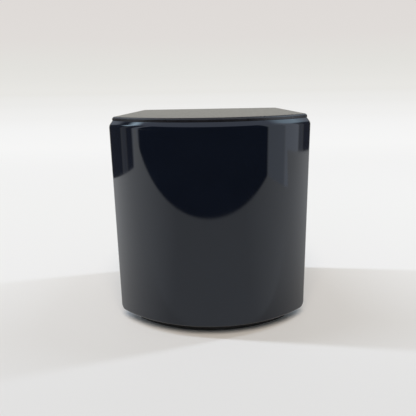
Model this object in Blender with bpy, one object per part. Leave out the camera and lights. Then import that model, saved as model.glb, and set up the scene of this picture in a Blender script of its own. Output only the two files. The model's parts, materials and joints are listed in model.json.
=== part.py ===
"""Enclosed survey prism: a corner-cube reflector behind a bowed dark window.

A hood of window, housing and cap drops over a chassis. The chassis carries the prism, and a
socket with a spring latch that takes the spigot on top of a pole. Sizes are in metres. X points
to the right, Y to the back and Z up. Places are counted from the socket's axis at table level.
"""

import math

import bmesh
import bpy
from mathutils import Matrix, Vector

# Clearances between pieces that seat in or on one another
FIT = 0.0003
SEAL_FIT = 0.00015

# Corner-cube prism. The constant sets how far its reflecting centre lies from the pole's axis.
GLASS_DIAMETER = 0.0508
GLASS_RIM = 0.0016
GLASS_INDEX = 1.517
PRISM_CONSTANT = 0.040

# Cell round the glass
CELL_WALL = 0.0028
CELL_BACK = 0.0025
CELL_TIP_ROOM = 0.0008
SEAT_THICKNESS = 0.0020
SEAT_NEAR = 0.008
SEAT_WIDTH = 0.005
RING_LIP = 0.0017
RING_OVERLAP = 0.0014
RING_WALL = 0.0015
RING_CHAMFER = 0.0006
RING_NOTCH_WIDTH = 0.0026
RING_NOTCH_DEPTH = 0.0008
RING_SEAL_HEIGHT = 0.0009
FLANGE_SETBACK = 0.0064
FLANGE_THICKNESS = 0.003
FLANGE_MARGIN = 0.0015
FLANGE_SCREW_EDGE = 0.0045

# Hood
WALL = 0.0030
SIDE_ROOM = 0.0060
TOP_ROOM = 0.0033
FRONT_ROOM = 0.0010
BODY_DEPTH = 0.0530
SIDE_TAPER = 0.0045
FRONT_RADIUS = 0.0510
CORNER_RADIUS = 0.0020
REAR_RADIUS = 0.0030
LEAST_RADIUS = 0.0002
FRONT_RIM = 0.0007
SIDE_RIM = 0.0025
TOP_BEVEL = 0.0013
TOP_BEVEL_HEIGHT = 0.0018
RETURN_LENGTH = 0.0060
STRIP_WIDTH = 0.0010
STRIP_SINK = 0.0005
TONGUE_THICKNESS = 0.0015
TONGUE_LENGTH = 0.0030
TONGUE_ROOT = 0.0024

# Cap
CAP_PLATE = 0.0032
CAP_EDGE = 0.0012
CAP_INSET = 0.0013
CAP_ROUND = 0.0010
SEAM = 0.0002
SPIGOT_HEIGHT = 0.0035
SPIGOT_WALL = 0.0020
GASKET_HEIGHT = 0.0013
GASKET_DEPTH = 0.0011
GASKET_EDGE = 0.0008

# Chassis
FOOT_HEIGHT = 0.0038
FOOT_FRONT_INSET = 0.0050
FOOT_SIDE_INSET = 0.0075
FOOT_CORNER = 0.0020
FOOT_BEVEL = 0.0004
FOOT_SCALLOP = 0.0009
BASE_THICKNESS = 0.0050
FRAME_THICKNESS = 0.0045
FRAME_ROOM = 0.0006
FRAME_FOOT_HEIGHT = 0.0040
FRAME_FOOT_ROOM = 0.0023
FRAME_FOOT_WIDTH = 0.0095
FRAME_FOOT_STEP = 0.0013
GUSSET_HEIGHT = 0.0085
GUSSET_WIDTH = 0.0030
ARCH_ROOM = 0.0008

# Lugs, inserts and screws
LUG_FRONT_ROOM = 0.0010
LUG_REAR_ROOM = 0.0065
LUG_WIDTH = 0.0070
LUG_EDGE = 0.0034
LUG_ROOF = 0.0024
TOP_LUG_HEIGHT = 0.0050
TOP_LUG_DROP = 0.0060
BOSS_ROOM = 0.0006
BOSS_RADIUS = 0.0028
BOSS_BLIND = 0.0016
INSERT_RADIUS = 0.0023
INSERT_LENGTH = 0.0050
SHANK_RADIUS = 0.00125
HEAD_RADIUS = 0.00215
HEAD_HEIGHT = 0.0018
HEAD_CHAMFER = 0.0003
DRIVE_RADIUS = 0.0011
DRIVE_DEPTH = 0.0010

# Socket for the pole's spigot
SPIGOT_DIAMETER = 0.0120
SPIGOT_FIT = 0.0001
SOCKET_WALL = 0.0024
SOCKET_RISE = 0.0087
SOCKET_ROOF = 0.0015
SOCKET_SET = 0.0022
SOCKET_FLANGE = 0.0031
SOCKET_FLANGE_WIDTH = 0.0055
SOCKET_MOUTH = 0.0006
SOCKET_SCREWS = 3
CELL_ROOM = 0.0006

# Latch and release button
LATCH_TRAVEL = 0.0020
LATCH_THICKNESS = 0.0020
LATCH_RAIL = 0.0036
LATCH_BAR = 0.0032
LATCH_BITE = 0.0012
LATCH_TONGUE = 0.0080
TAIL_WIDTH = 0.0100
TAB_RISE = 0.0040
BUTTON_RADIUS = 0.0055
BUTTON_PROUD = 0.0030
BUTTON_CROWN = 0.0008
BUTTON_GROOVE = 0.0009
BUTTON_GROOVE_Y = 0.0008
BUTTON_SEAL_WIDTH = 0.0009
BUTTON_HOLE = 0.0050
BUTTON_ROOM = 0.0005
BEZEL_WALL = 0.0010
BEZEL_FLANGE = 0.0022
BEZEL_THICKNESS = 0.0014
BEZEL_ROUND = 0.0005
NUT_WALL = 0.0019
NUT_THICKNESS = 0.0015
GUIDE_THICKNESS = 0.0022
GUIDE_LEG_WIDTH = 0.0050
GUIDE_LEG_LENGTH = 0.0062
GUIDE_LEG_HEIGHT = 0.0055
GUIDE_ROOM = 0.0006
GUIDE_RISE = 0.0042
POST_RADIUS = 0.0022
POST_LENGTH = 0.0020
SPRING_LENGTH = 0.0065
SPRING_RADIUS = 0.0033
SPRING_WIRE = 0.0007
SPRING_TURNS = 4

# Fineness of round shapes
ARC_STEPS = 16
CORNER_STEPS = 4
RIM_STEPS = 3
LARGE_SIDES = 40
MIDDLE_SIDES = 32
SMALL_SIDES = 12
CURL_POINTS = 10

# How far a Boolean's pieces run into or past each other
OVERLAP = 0.0006

# Prism and cell, along Y from the front face of the glass
GLASS_RADIUS = GLASS_DIAMETER / 2
CUBE_SLOPE = math.sqrt(2)
CUBE_NORMAL = math.sqrt(3)
GLASS_HEIGHT = GLASS_RADIUS * CUBE_SLOPE + GLASS_RIM
FACE_Y = PRISM_CONSTANT - GLASS_INDEX * GLASS_HEIGHT
BORE_RADIUS = GLASS_RADIUS + FIT
CELL_RADIUS = BORE_RADIUS + CELL_WALL
RING_RADIUS = GLASS_RADIUS + RING_WALL
RING_BACK = -RING_SEAL_HEIGHT - 2 * SEAL_FIT
RING_FRONT = RING_BACK - RING_LIP
CELL_FRONT_Y = FACE_Y + RING_FRONT
FLANGE_HALF = CELL_RADIUS + FLANGE_MARGIN
FLANGE_FRONT_Y = CELL_FRONT_Y + FLANGE_SETBACK
FLANGE_SCREW = FLANGE_HALF - FLANGE_SCREW_EDGE

# Plan of the hood
HALF_WIDTH = CELL_RADIUS + SIDE_ROOM + WALL
ARC_Y = CELL_FRONT_Y - FRONT_ROOM + math.sqrt((FRONT_RADIUS - WALL) ** 2 - CELL_RADIUS**2)
ARC_CENTRE = Vector((0, ARC_Y))
FRONT_Y = ARC_Y - FRONT_RADIUS
CORNER_Y = ARC_Y - math.sqrt(FRONT_RADIUS**2 - HALF_WIDTH**2)
BACK_Y = CORNER_Y + BODY_DEPTH
SIDE_START = Vector((HALF_WIDTH, CORNER_Y))
SIDE_LINE = Vector((-SIDE_TAPER, BODY_DEPTH)).normalized()
SIDE_NORMAL = Vector((SIDE_LINE.y, -SIDE_LINE.x))
WINDOW_END_Y = CORNER_Y + RETURN_LENGTH
HOUSING_FRONT_Y = WINDOW_END_Y + STRIP_WIDTH + 2 * SEAL_FIT
INNER = WALL + FIT

# Screw lugs, in from the wall far enough for the cap's bosses to clear its gasket
LUG_AXIS = FIT + GASKET_DEPTH + BOSS_ROOM + BOSS_RADIUS
LUG_DEPTH = LUG_AXIS + LUG_EDGE

# Heights
SHELL_BOTTOM = FOOT_HEIGHT + FIT
BASE_TOP = SHELL_BOTTOM + BASE_THICKNESS
SOCKET_TOP = BASE_TOP + SOCKET_RISE
AXIS_Z = SOCKET_TOP + CELL_ROOM + CELL_RADIUS
CAP_UNDER = AXIS_Z + CELL_RADIUS + TOP_ROOM
CAP_TOP = CAP_UNDER + CAP_PLATE
RIM_UNDER = CAP_TOP - CAP_EDGE
SHELL_TOP = RIM_UNDER - SEAM
TOP_LUG_TOP = CAP_UNDER - TOP_LUG_DROP
TOP_LUG_BOTTOM = TOP_LUG_TOP - TOP_LUG_HEIGHT
LUG_BOTTOM = BASE_TOP + FIT
LUG_TOP = LUG_BOTTOM + INSERT_LENGTH + LUG_ROOF

# Frame that carries the cell
FRAME_FRONT_Y = FLANGE_FRONT_Y + FLANGE_THICKNESS + FIT
FRAME_BACK_Y = FRAME_FRONT_Y + FRAME_THICKNESS
STAND = BASE_TOP + FIT

# Socket and latch
SOCKET_BORE = SPIGOT_DIAMETER / 2 + SPIGOT_FIT
SOCKET_RADIUS = SOCKET_BORE + SOCKET_WALL
FLANGE_RADIUS = SOCKET_RADIUS + SOCKET_FLANGE_WIDTH
SOCKET_FLANGE_TOP = SOCKET_SET + SOCKET_FLANGE
SOCKET_SCREW_RADIUS = (SOCKET_RADIUS + FLANGE_RADIUS) / 2 - FIT
LATCH_TOP = STAND + LATCH_THICKNESS
LATCH_CLEAR = SOCKET_RADIUS + FIT
LATCH_HALF = LATCH_CLEAR + LATCH_RAIL
LATCH_TIP_Y = LATCH_BITE - SOCKET_BORE
LATCH_REAR_Y = LATCH_CLEAR + LATCH_TRAVEL
TAIL_HALF = TAIL_WIDTH / 2
ARCH_HALF = LATCH_HALF + ARCH_ROOM
FRAME_FOOT_INNER = ARCH_HALF + FRAME_FOOT_STEP
FRAME_FOOT_X = FRAME_FOOT_INNER + FRAME_FOOT_WIDTH / 2

# Button in the back wall
BEZEL_BORE = BUTTON_RADIUS + FIT
BEZEL_RADIUS = BEZEL_BORE + BEZEL_WALL
NUT_RADIUS = BEZEL_RADIUS + FIT + NUT_WALL
BUTTON_Z = BASE_TOP + NUT_RADIUS + BUTTON_ROOM
INNER_BACK_Y = BACK_Y - WALL
NUT_REAR_Y = INNER_BACK_Y - FIT
BEZEL_INNER_Y = NUT_REAR_Y - NUT_THICKNESS - FIT
BUTTON_TIP_Y = BACK_Y + BUTTON_PROUD
TAB_REAR_Y = BEZEL_INNER_Y - FIT
TAB_FRONT_Y = TAB_REAR_Y - LATCH_THICKNESS
GUIDE_REAR_Y = TAB_FRONT_Y - SPRING_LENGTH - 2 * SEAL_FIT
GUIDE_FRONT_Y = GUIDE_REAR_Y - GUIDE_THICKNESS
GUIDE_INNER = LATCH_HALF + GUIDE_ROOM
GUIDE_HALF = GUIDE_INNER + GUIDE_LEG_WIDTH

# The frame's feet end clear of the guide's legs.
FRAME_FOOT_END_Y = GUIDE_FRONT_Y - GUIDE_LEG_LENGTH - FRAME_FOOT_ROOM
FRAME_FOOT_LENGTH = FRAME_FOOT_END_Y - FRAME_BACK_Y

# The frame of the whole part is centred on its outline, front of the window to tip of the button.
ASSEMBLY_Y = -(FRONT_Y + BUTTON_TIP_Y) / 2

# Screw holes
HOLE_RADIUS = SHANK_RADIUS + FIT
RECESS_RADIUS = HEAD_RADIUS + FIT
RECESS_DEPTH = HEAD_HEIGHT + 2 * FIT
SEAT_Z = SHELL_BOTTOM + RECESS_DEPTH - FIT

# Turns a piece that stands along Z to lie along Y, pointing back
ALONG_Y = Matrix.Rotation(-math.pi / 2, 4, "X")


def material(name, colour, roughness, metallic=0.0):
    """A plain surface for one kind of piece."""
    made = bpy.data.materials.new(name)
    made.use_nodes = True
    shader = made.node_tree.nodes["Principled BSDF"]
    shader.inputs["Base Color"].default_value = (*colour, 1.0)
    shader.inputs["Roughness"].default_value = roughness
    shader.inputs["Metallic"].default_value = metallic
    return made


def empty(name, location, parent=None):
    """A frame that pieces hang on."""
    made = bpy.data.objects.new(name, None)
    bpy.context.collection.objects.link(made)
    made.parent = parent
    made.location = location
    return made


def piece(name, bm, parent, surface=None):
    """One object from a mesh in progress. Without a surface it is only a cutter or a joining tool."""
    bmesh.ops.recalc_face_normals(bm, faces=bm.faces[:])
    mesh = bpy.data.meshes.new(name)
    bm.to_mesh(mesh)
    bm.free()
    mesh.shade_smooth()
    mesh.set_sharp_from_angle(angle=math.radians(35))
    made = bpy.data.objects.new(name, mesh)
    bpy.context.collection.objects.link(made)
    made.parent = parent
    if surface:
        mesh.materials.append(surface)
    else:
        made.hide_render = True
        made.display_type = "WIRE"
    return made


def combine(target, tool, operation):
    """Joins a tool to a piece, or cuts the piece with it."""
    modifier = target.modifiers.new(tool.name, "BOOLEAN")
    modifier.operation = operation
    modifier.object = tool
    modifier.solver = "EXACT"


def add_levels(bm, levels, closed=False):
    """Skins loops of equal length. An open stack is capped, and a closed one joins up with itself."""
    rows = []
    for points in levels:
        rows.append([bm.verts.new(point) for point in points])
    count = len(rows[0])
    pairs = list(zip(rows, rows[1:]))
    if closed:
        pairs.append((rows[-1], rows[0]))
    for lower, upper in pairs:
        for i in range(count):
            j = (i + 1) % count
            bm.faces.new((lower[i], lower[j], upper[j], upper[i]))
    if not closed:
        bm.faces.new(reversed(rows[0]))
        bm.faces.new(rows[-1])


def add_turned(bm, profile, sides, place=None):
    """Turns a profile of (radius, height) round Z. It starts and ends on the axis, or closes as a ring."""
    place = place or Matrix()
    rings = []
    for radius, height in profile:
        if radius == 0:
            rings.append([bm.verts.new(place @ Vector((0, 0, height)))])
            continue
        ring = []
        for i in range(sides):
            angle = 2 * math.pi * i / sides
            point = Vector((radius * math.cos(angle), radius * math.sin(angle), height))
            ring.append(bm.verts.new(place @ point))
        rings.append(ring)
    pairs = list(zip(rings, rings[1:]))
    if len(rings[0]) > 1:
        pairs.append((rings[-1], rings[0]))
    for first, second in pairs:
        for i in range(sides):
            j = (i + 1) % sides
            low = [first[i % len(first)], first[j % len(first)]]
            high = [second[j % len(second)], second[i % len(second)]]
            bm.faces.new(dict.fromkeys(low + high))


def add_box(bm, low, high):
    """A block between two corners."""
    (x0, y0, z0), (x1, y1, z1) = low, high
    plan = ((x0, y0), (x1, y0), (x1, y1), (x0, y1))
    add_levels(bm, [[(x, y, z) for x, y in plan] for z in (z0, z1)])


def turned(name, profile, sides, parent, surface=None, places=(Matrix(),)):
    """A turned piece, or one tool with a copy at each place."""
    bm = bmesh.new()
    for place in places:
        add_turned(bm, profile, sides, place)
    return piece(name, bm, parent, surface)


def blocks(name, corners, parent, surface=None):
    """One piece or tool of blocks that don't touch."""
    bm = bmesh.new()
    for low, high in corners:
        add_box(bm, low, high)
    return piece(name, bm, parent, surface)


def cylinder_profile(radius, low, high):
    return [(0, low), (radius, low), (radius, high), (0, high)]


def ring_profile(inner, outer, low, high):
    return [(inner, low), (outer, low), (outer, high), (inner, high)]


def screw_hole_profile(recess_low, recess_high, hole_high):
    """A recess for the head below, and a hole for the shank above it."""
    return [
        (0, recess_low),
        (RECESS_RADIUS, recess_low),
        (RECESS_RADIUS, recess_high),
        (HOLE_RADIUS, recess_high),
        (HOLE_RADIUS, hole_high),
        (0, hole_high),
    ]


def screw(name, length, seat, parent, surface):
    """A screw whose head seats at a place, with its shank along that place's Z."""
    profile = [
        (0, DRIVE_DEPTH - HEAD_HEIGHT),
        (DRIVE_RADIUS, DRIVE_DEPTH - HEAD_HEIGHT),
        (DRIVE_RADIUS, -HEAD_HEIGHT),
        (HEAD_RADIUS - HEAD_CHAMFER, -HEAD_HEIGHT),
        (HEAD_RADIUS, HEAD_CHAMFER - HEAD_HEIGHT),
        (HEAD_RADIUS, 0),
        (SHANK_RADIUS, 0),
        (SHANK_RADIUS, length),
        (0, length),
    ]
    made = turned(name, profile, SMALL_SIDES, parent, surface)
    made.matrix_local = seat
    return made


def side_x(y, inset):
    """Half the body's width at a depth, less an inset."""
    return HALF_WIDTH - (inset + (y - CORNER_Y) * SIDE_NORMAL.y) / SIDE_NORMAL.x


def arc(centre, radius, start, end, steps):
    """Points on an arc, with its end and without its start."""
    points = []
    for i in range(1, steps + 1):
        angle = start + (end - start) * i / steps
        points.append((centre.x + radius * math.cos(angle), centre.y + radius * math.sin(angle)))
    return points


def front_half(front, side, radius):
    """Right half of the bowed front, from beside its middle to the end of the rounded corner."""
    base = SIDE_START - SIDE_NORMAL * (side + radius) - ARC_CENTRE
    reach = FRONT_RADIUS - front - radius
    along = base.dot(SIDE_LINE)
    step = -along - math.sqrt(along**2 - base.length_squared + reach**2)
    offset = base + SIDE_LINE * step
    corner = ARC_CENTRE + offset
    turn = math.atan2(offset.y, offset.x)
    end = math.atan2(SIDE_NORMAL.y, SIDE_NORMAL.x)
    bow = arc(ARC_CENTRE, FRONT_RADIUS - front, -math.pi / 2, turn, ARC_STEPS)
    return bow + arc(corner, radius, turn, end, CORNER_STEPS)


def rear_half(side, back, radius):
    """Rounded rear corner on the right, from the side to the back."""
    y = BACK_Y - back - radius
    corner = Vector((side_x(y, side + radius), y))
    start = math.atan2(SIDE_NORMAL.y, SIDE_NORMAL.x)
    first = corner + SIDE_NORMAL * radius
    return [tuple(first)] + arc(corner, radius, start, math.pi / 2, CORNER_STEPS)


def mirrored(points):
    return [(-x, y) for x, y in reversed(points)]


def body_outline(inset):
    """The body's plan, drawn in all round."""
    half = front_half(inset, inset, max(CORNER_RADIUS - inset, LEAST_RADIUS))
    half += rear_half(inset, inset, max(REAR_RADIUS - inset, LEAST_RADIUS))
    return [(0, FRONT_Y + inset)] + half + mirrored(half)


def at_height(points, z):
    return [(x, y, z) for x, y in points]


def swept(name, profile, parent, surface, closed):
    """A section of (inset, height) carried round the body's plan."""
    bm = bmesh.new()
    levels = [at_height(body_outline(inset), z) for inset, z in profile]
    add_levels(bm, levels, closed)
    return piece(name, bm, parent, surface)


def rounding(radius, height):
    """How far a rounded rim draws in at a height above its edge."""
    if height >= radius:
        return 0.0
    return radius - math.sqrt(radius**2 - (radius - height) ** 2)


def shell_levels():
    """Heights of the hood's walls, each with the front's inset and the sides' inset there."""
    levels = []
    for i in range(RIM_STEPS + 1):
        height = SIDE_RIM * (1 - math.cos(math.pi / 2 * i / RIM_STEPS))
        levels.append((SHELL_BOTTOM + height, rounding(FRONT_RIM, height), rounding(SIDE_RIM, height)))
    levels.append((SHELL_TOP - TOP_BEVEL_HEIGHT, 0.0, 0.0))
    levels.append((SHELL_TOP, TOP_BEVEL, TOP_BEVEL))
    return levels


def lug_places():
    """Axes of the four screw lugs on the side walls."""
    places = []
    front_y = FRAME_BACK_Y + LUG_FRONT_ROOM + LUG_WIDTH / 2
    for y in (front_y, INNER_BACK_Y - LUG_REAR_ROOM):
        for side in (1, -1):
            places.append(Vector((side * (side_x(y, WALL) - LUG_AXIS), y, 0)))
    return places


def shifted(places, z=0.0):
    return [Matrix.Translation((place.x, place.y, z)) for place in places]


def front_window(parent, surface):
    """Bowed window with a short return on each side."""

    def path(front, side, radius):
        half = front_half(front, side, radius)
        half.append((side_x(WINDOW_END_Y, side), WINDOW_END_Y))
        return mirrored(half) + [(0, FRONT_Y + front)] + half

    inner = path(WALL, WALL, LEAST_RADIUS)
    levels = []
    for z, front, side in shell_levels():
        levels.append(at_height(path(front, side, CORNER_RADIUS) + inner[::-1], z))
    bm = bmesh.new()
    add_levels(bm, levels)
    return piece("front_window", bm, parent, surface)


def rear_housing(parent, surface):
    """Sides and back of the hood, with tongues behind the window and lugs for the screws."""

    def path(side, radius):
        half = [(side_x(HOUSING_FRONT_Y, side), HOUSING_FRONT_Y)] + rear_half(side, side, radius)
        return half + mirrored(half)

    inner = path(WALL, LEAST_RADIUS)
    levels = []
    for z, _, side in shell_levels():
        levels.append(at_height(path(side, REAR_RADIUS - side) + inner[::-1], z))
    bm = bmesh.new()
    add_levels(bm, levels)
    housing = piece("rear_housing", bm, parent, surface)
    combine(housing, housing_tongues(parent), "UNION")
    combine(housing, housing_lugs(parent), "UNION")
    insert_bottom = LUG_BOTTOM - OVERLAP
    insert_top = LUG_BOTTOM + INSERT_LENGTH + FIT
    pockets = cylinder_profile(INSERT_RADIUS + FIT, insert_bottom, insert_top)
    shanks = cylinder_profile(HOLE_RADIUS, TOP_LUG_BOTTOM - OVERLAP, TOP_LUG_TOP + OVERLAP)
    places = shifted(lug_places())
    combine(housing, turned("insert_pockets", pockets, SMALL_SIDES, parent, None, places), "DIFFERENCE")
    combine(housing, turned("cap_screw_holes", shanks, SMALL_SIDES, parent, None, places), "DIFFERENCE")
    wall_hole = cylinder_profile(BEZEL_RADIUS + FIT, INNER_BACK_Y - OVERLAP, BACK_Y + OVERLAP)
    hole_place = [Matrix.Translation((0, 0, BUTTON_Z)) @ ALONG_Y]
    combine(housing, turned("button_hole", wall_hole, MIDDLE_SIDES, parent, None, hole_place), "DIFFERENCE")
    return housing


def housing_tongues(parent):
    """Strips inside the wall that reach forward behind the window's returns."""
    bottom = LUG_BOTTOM + FIT
    top = RIM_UNDER - SPIGOT_HEIGHT - FIT
    root_y = HOUSING_FRONT_Y + TONGUE_ROOT
    tip_y = WINDOW_END_Y - TONGUE_LENGTH
    inside = INNER + TONGUE_THICKNESS
    corners = (
        (tip_y, inside),
        (tip_y, INNER),
        (HOUSING_FRONT_Y, INNER),
        (HOUSING_FRONT_Y + OVERLAP, WALL / 2),
        (root_y, WALL / 2),
        (root_y, inside),
    )
    bm = bmesh.new()
    for side in (1, -1):
        plan = [(side * side_x(y, inset), y) for y, inset in corners]
        add_levels(bm, [at_height(plan, bottom), at_height(plan, top)])
    return piece("housing_tongues", bm, parent)


def housing_lugs(parent):
    """Blocks on the side walls: low ones for the inserts, high ones for the cap's screws."""
    corners = []
    for place in lug_places():
        y0 = place.y - LUG_WIDTH / 2
        y1 = place.y + LUG_WIDTH / 2
        inner = side_x(place.y, WALL) - LUG_DEPTH
        outer = side_x(place.y, WALL / 2)
        x0, x1 = sorted((math.copysign(inner, place.x), math.copysign(outer, place.x)))
        for z0, z1 in ((LUG_BOTTOM, LUG_TOP), (TOP_LUG_BOTTOM, TOP_LUG_TOP)):
            corners.append(((x0, y0, z0), (x1, y1, z1)))
    return blocks("housing_lugs", corners, parent)


def window_seals(parent, surface):
    """Rubber strip in the joint on each side, between window and housing."""
    y0 = WINDOW_END_Y + SEAL_FIT
    y1 = HOUSING_FRONT_Y - SEAL_FIT
    inner = WALL - FIT
    sinks = (
        (SHELL_BOTTOM + SIDE_RIM, STRIP_SINK),
        (SHELL_TOP - TOP_BEVEL_HEIGHT, STRIP_SINK),
        (SHELL_TOP, STRIP_SINK + TOP_BEVEL),
    )
    for name, side in (("right", 1), ("left", -1)):
        levels = []
        for z, sink in sinks:
            corners = ((y0, sink), (y1, sink), (y1, inner), (y0, inner))
            levels.append([(side * side_x(y, inset), y, z) for y, inset in corners])
        bm = bmesh.new()
        add_levels(bm, levels)
        piece("window_seal_" + name, bm, parent, surface)


def top_cap(parent, surface):
    """Cap with a rounded edge, a spigot inside the hood's walls and four bosses."""
    profile = []
    for i in range(RIM_STEPS + 1):
        angle = math.pi / 2 * i / RIM_STEPS
        inset = CAP_INSET + CAP_ROUND * (1 - math.sin(angle))
        profile.append((inset, CAP_TOP - CAP_ROUND * (1 - math.cos(angle))))
    groove_top = RIM_UNDER - GASKET_EDGE
    groove_bottom = groove_top - GASKET_HEIGHT - 2 * SEAL_FIT
    spigot_bottom = RIM_UNDER - SPIGOT_HEIGHT
    profile += [
        (CAP_INSET, RIM_UNDER),
        (INNER, RIM_UNDER),
        (INNER, groove_top),
        (INNER + GASKET_DEPTH, groove_top),
        (INNER + GASKET_DEPTH, groove_bottom),
        (INNER, groove_bottom),
        (INNER, spigot_bottom),
        (INNER + SPIGOT_WALL, spigot_bottom),
        (INNER + SPIGOT_WALL, CAP_UNDER),
    ]
    cap = swept("top_cap", profile, parent, surface, closed=False)
    boss_bottom = TOP_LUG_TOP + FIT
    bosses = cylinder_profile(BOSS_RADIUS, boss_bottom, CAP_UNDER + OVERLAP)
    holes = cylinder_profile(HOLE_RADIUS, boss_bottom - OVERLAP, CAP_UNDER + BOSS_BLIND)
    places = shifted(lug_places())
    combine(cap, turned("cap_bosses", bosses, SMALL_SIDES, parent, None, places), "UNION")
    combine(cap, turned("cap_boss_holes", holes, SMALL_SIDES, parent, None, places), "DIFFERENCE")
    return cap


def gasket(name, top, parent, surface):
    """Soft seal in an edge groove that ends at a height."""
    bottom = top - GASKET_HEIGHT
    outer = WALL + SEAL_FIT
    inner = INNER + GASKET_DEPTH - SEAL_FIT
    profile = [(outer, bottom), (outer, top), (inner, top), (inner, bottom)]
    return swept(name, profile, parent, surface, closed=True)


def cap_screws(parent, surface):
    length = CAP_UNDER + BOSS_BLIND - FIT - (TOP_LUG_BOTTOM - FIT)
    for i, place in enumerate(shifted(lug_places(), TOP_LUG_BOTTOM - FIT), 1):
        screw(f"cap_screw_{i}", length, place, parent, surface)


def housing_inserts(parent, surface):
    profile = ring_profile(HOLE_RADIUS, INSERT_RADIUS, 0, INSERT_LENGTH)
    for i, place in enumerate(shifted(lug_places(), LUG_BOTTOM), 1):
        insert = turned(f"housing_insert_{i}", profile, SMALL_SIDES, parent, surface)
        insert.matrix_local = place


def base_screws(parent, surface):
    length = LUG_BOTTOM + INSERT_LENGTH - SEAT_Z
    for i, place in enumerate(shifted(lug_places(), SEAT_Z), 1):
        screw(f"base_screw_{i}", length, place, parent, surface)


def socket_screw_places():
    places = []
    for i in range(SOCKET_SCREWS):
        angle = math.pi / 2 + 2 * math.pi * i / SOCKET_SCREWS
        places.append(Vector((math.cos(angle), math.sin(angle), 0)) * SOCKET_SCREW_RADIUS)
    return places


def frame_screw_places():
    y = FRAME_BACK_Y + FRAME_FOOT_LENGTH / 2
    return [Vector((-FRAME_FOOT_X, y, 0)), Vector((FRAME_FOOT_X, y, 0))]


def guide_screw_places():
    x = GUIDE_INNER + GUIDE_LEG_WIDTH / 2
    y = GUIDE_FRONT_Y - GUIDE_LEG_LENGTH / 2
    return [Vector((-x, y, 0)), Vector((x, y, 0))]


def base_plate(parent, surface):
    """Chassis plate inside the hood's walls, with an edge groove for its seal."""
    groove_top = BASE_TOP - GASKET_EDGE
    groove_bottom = groove_top - GASKET_HEIGHT - 2 * SEAL_FIT
    profile = [
        (INNER, SHELL_BOTTOM),
        (INNER, groove_bottom),
        (INNER + GASKET_DEPTH, groove_bottom),
        (INNER + GASKET_DEPTH, groove_top),
        (INNER, groove_top),
        (INNER, BASE_TOP),
    ]
    plate = swept("base_plate", profile, parent, surface, closed=False)
    below = SHELL_BOTTOM - OVERLAP
    above = BASE_TOP + OVERLAP
    seat = SOCKET_FLANGE_TOP + FIT
    centre = [
        (0, below),
        (FLANGE_RADIUS + FIT, below),
        (FLANGE_RADIUS + FIT, seat),
        (SOCKET_RADIUS + FIT, seat),
        (SOCKET_RADIUS + FIT, above),
        (0, above),
    ]
    combine(plate, turned("socket_hole", centre, MIDDLE_SIDES, parent), "DIFFERENCE")
    recessed = screw_hole_profile(below, SHELL_BOTTOM + RECESS_DEPTH, above)
    places = shifted(lug_places() + frame_screw_places() + guide_screw_places())
    combine(plate, turned("base_screw_holes", recessed, SMALL_SIDES, parent, None, places), "DIFFERENCE")
    plain = cylinder_profile(HOLE_RADIUS, seat - OVERLAP, above)
    places = shifted(socket_screw_places())
    combine(plate, turned("socket_screw_holes", plain, SMALL_SIDES, parent, None, places), "DIFFERENCE")
    return plate


def foot_pad(parent, surface):
    """Rubber foot under the base plate, open round the socket and scalloped at the screws."""
    levels = []
    for inset, z in ((FOOT_BEVEL, 0), (0, FOOT_BEVEL), (0, FOOT_HEIGHT)):
        side = FOOT_SIDE_INSET + inset
        half = front_half(FOOT_FRONT_INSET + inset, side, FOOT_CORNER)
        half += rear_half(side, side, FOOT_CORNER)
        outline = [(0, FRONT_Y + FOOT_FRONT_INSET + inset)] + half + mirrored(half)
        levels.append(at_height(outline, z))
    bm = bmesh.new()
    add_levels(bm, levels)
    pad = piece("foot_pad", bm, parent, surface)
    opening = cylinder_profile(FLANGE_RADIUS + FIT, -OVERLAP, FOOT_HEIGHT + OVERLAP)
    combine(pad, turned("pad_opening", opening, MIDDLE_SIDES, parent), "DIFFERENCE")
    scallop = cylinder_profile(HEAD_RADIUS + FOOT_SCALLOP, -OVERLAP, FOOT_HEIGHT + OVERLAP)
    places = shifted(lug_places())
    combine(pad, turned("pad_scallops", scallop, SMALL_SIDES, parent, None, places), "DIFFERENCE")
    return pad


def spigot_socket(parent, surface):
    """Steel sleeve with a flange below, a blind bore and a slot for the latch in its front wall."""
    roof = SOCKET_TOP - SOCKET_ROOF
    profile = [
        (0, roof),
        (SOCKET_BORE, roof),
        (SOCKET_BORE, SOCKET_SET + SOCKET_MOUTH),
        (SOCKET_BORE + SOCKET_MOUTH, SOCKET_SET),
        (FLANGE_RADIUS, SOCKET_SET),
        (FLANGE_RADIUS, SOCKET_FLANGE_TOP),
        (SOCKET_RADIUS, SOCKET_FLANGE_TOP),
        (SOCKET_RADIUS, SOCKET_TOP),
        (0, SOCKET_TOP),
    ]
    socket = turned("spigot_socket", profile, MIDDLE_SIDES, parent, surface)
    half = LATCH_TONGUE / 2 + FIT
    low = (-half, -SOCKET_RADIUS - OVERLAP, STAND - FIT)
    high = (half, LATCH_TIP_Y + LATCH_BITE, LATCH_TOP + FIT)
    combine(socket, blocks("latch_slot", [(low, high)], parent), "DIFFERENCE")
    recess = screw_hole_profile(
        SOCKET_SET - OVERLAP, SOCKET_SET + RECESS_DEPTH, SOCKET_FLANGE_TOP + OVERLAP
    )
    places = shifted(socket_screw_places())
    combine(socket, turned("flange_screw_holes", recess, SMALL_SIDES, parent, None, places), "DIFFERENCE")
    return socket


def socket_screws(parent, surface):
    seat = SOCKET_SET + RECESS_DEPTH - FIT
    length = BASE_TOP - FIT - seat
    for i, place in enumerate(shifted(socket_screw_places(), seat), 1):
        screw(f"socket_screw_{i}", length, place, parent, surface)


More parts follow.
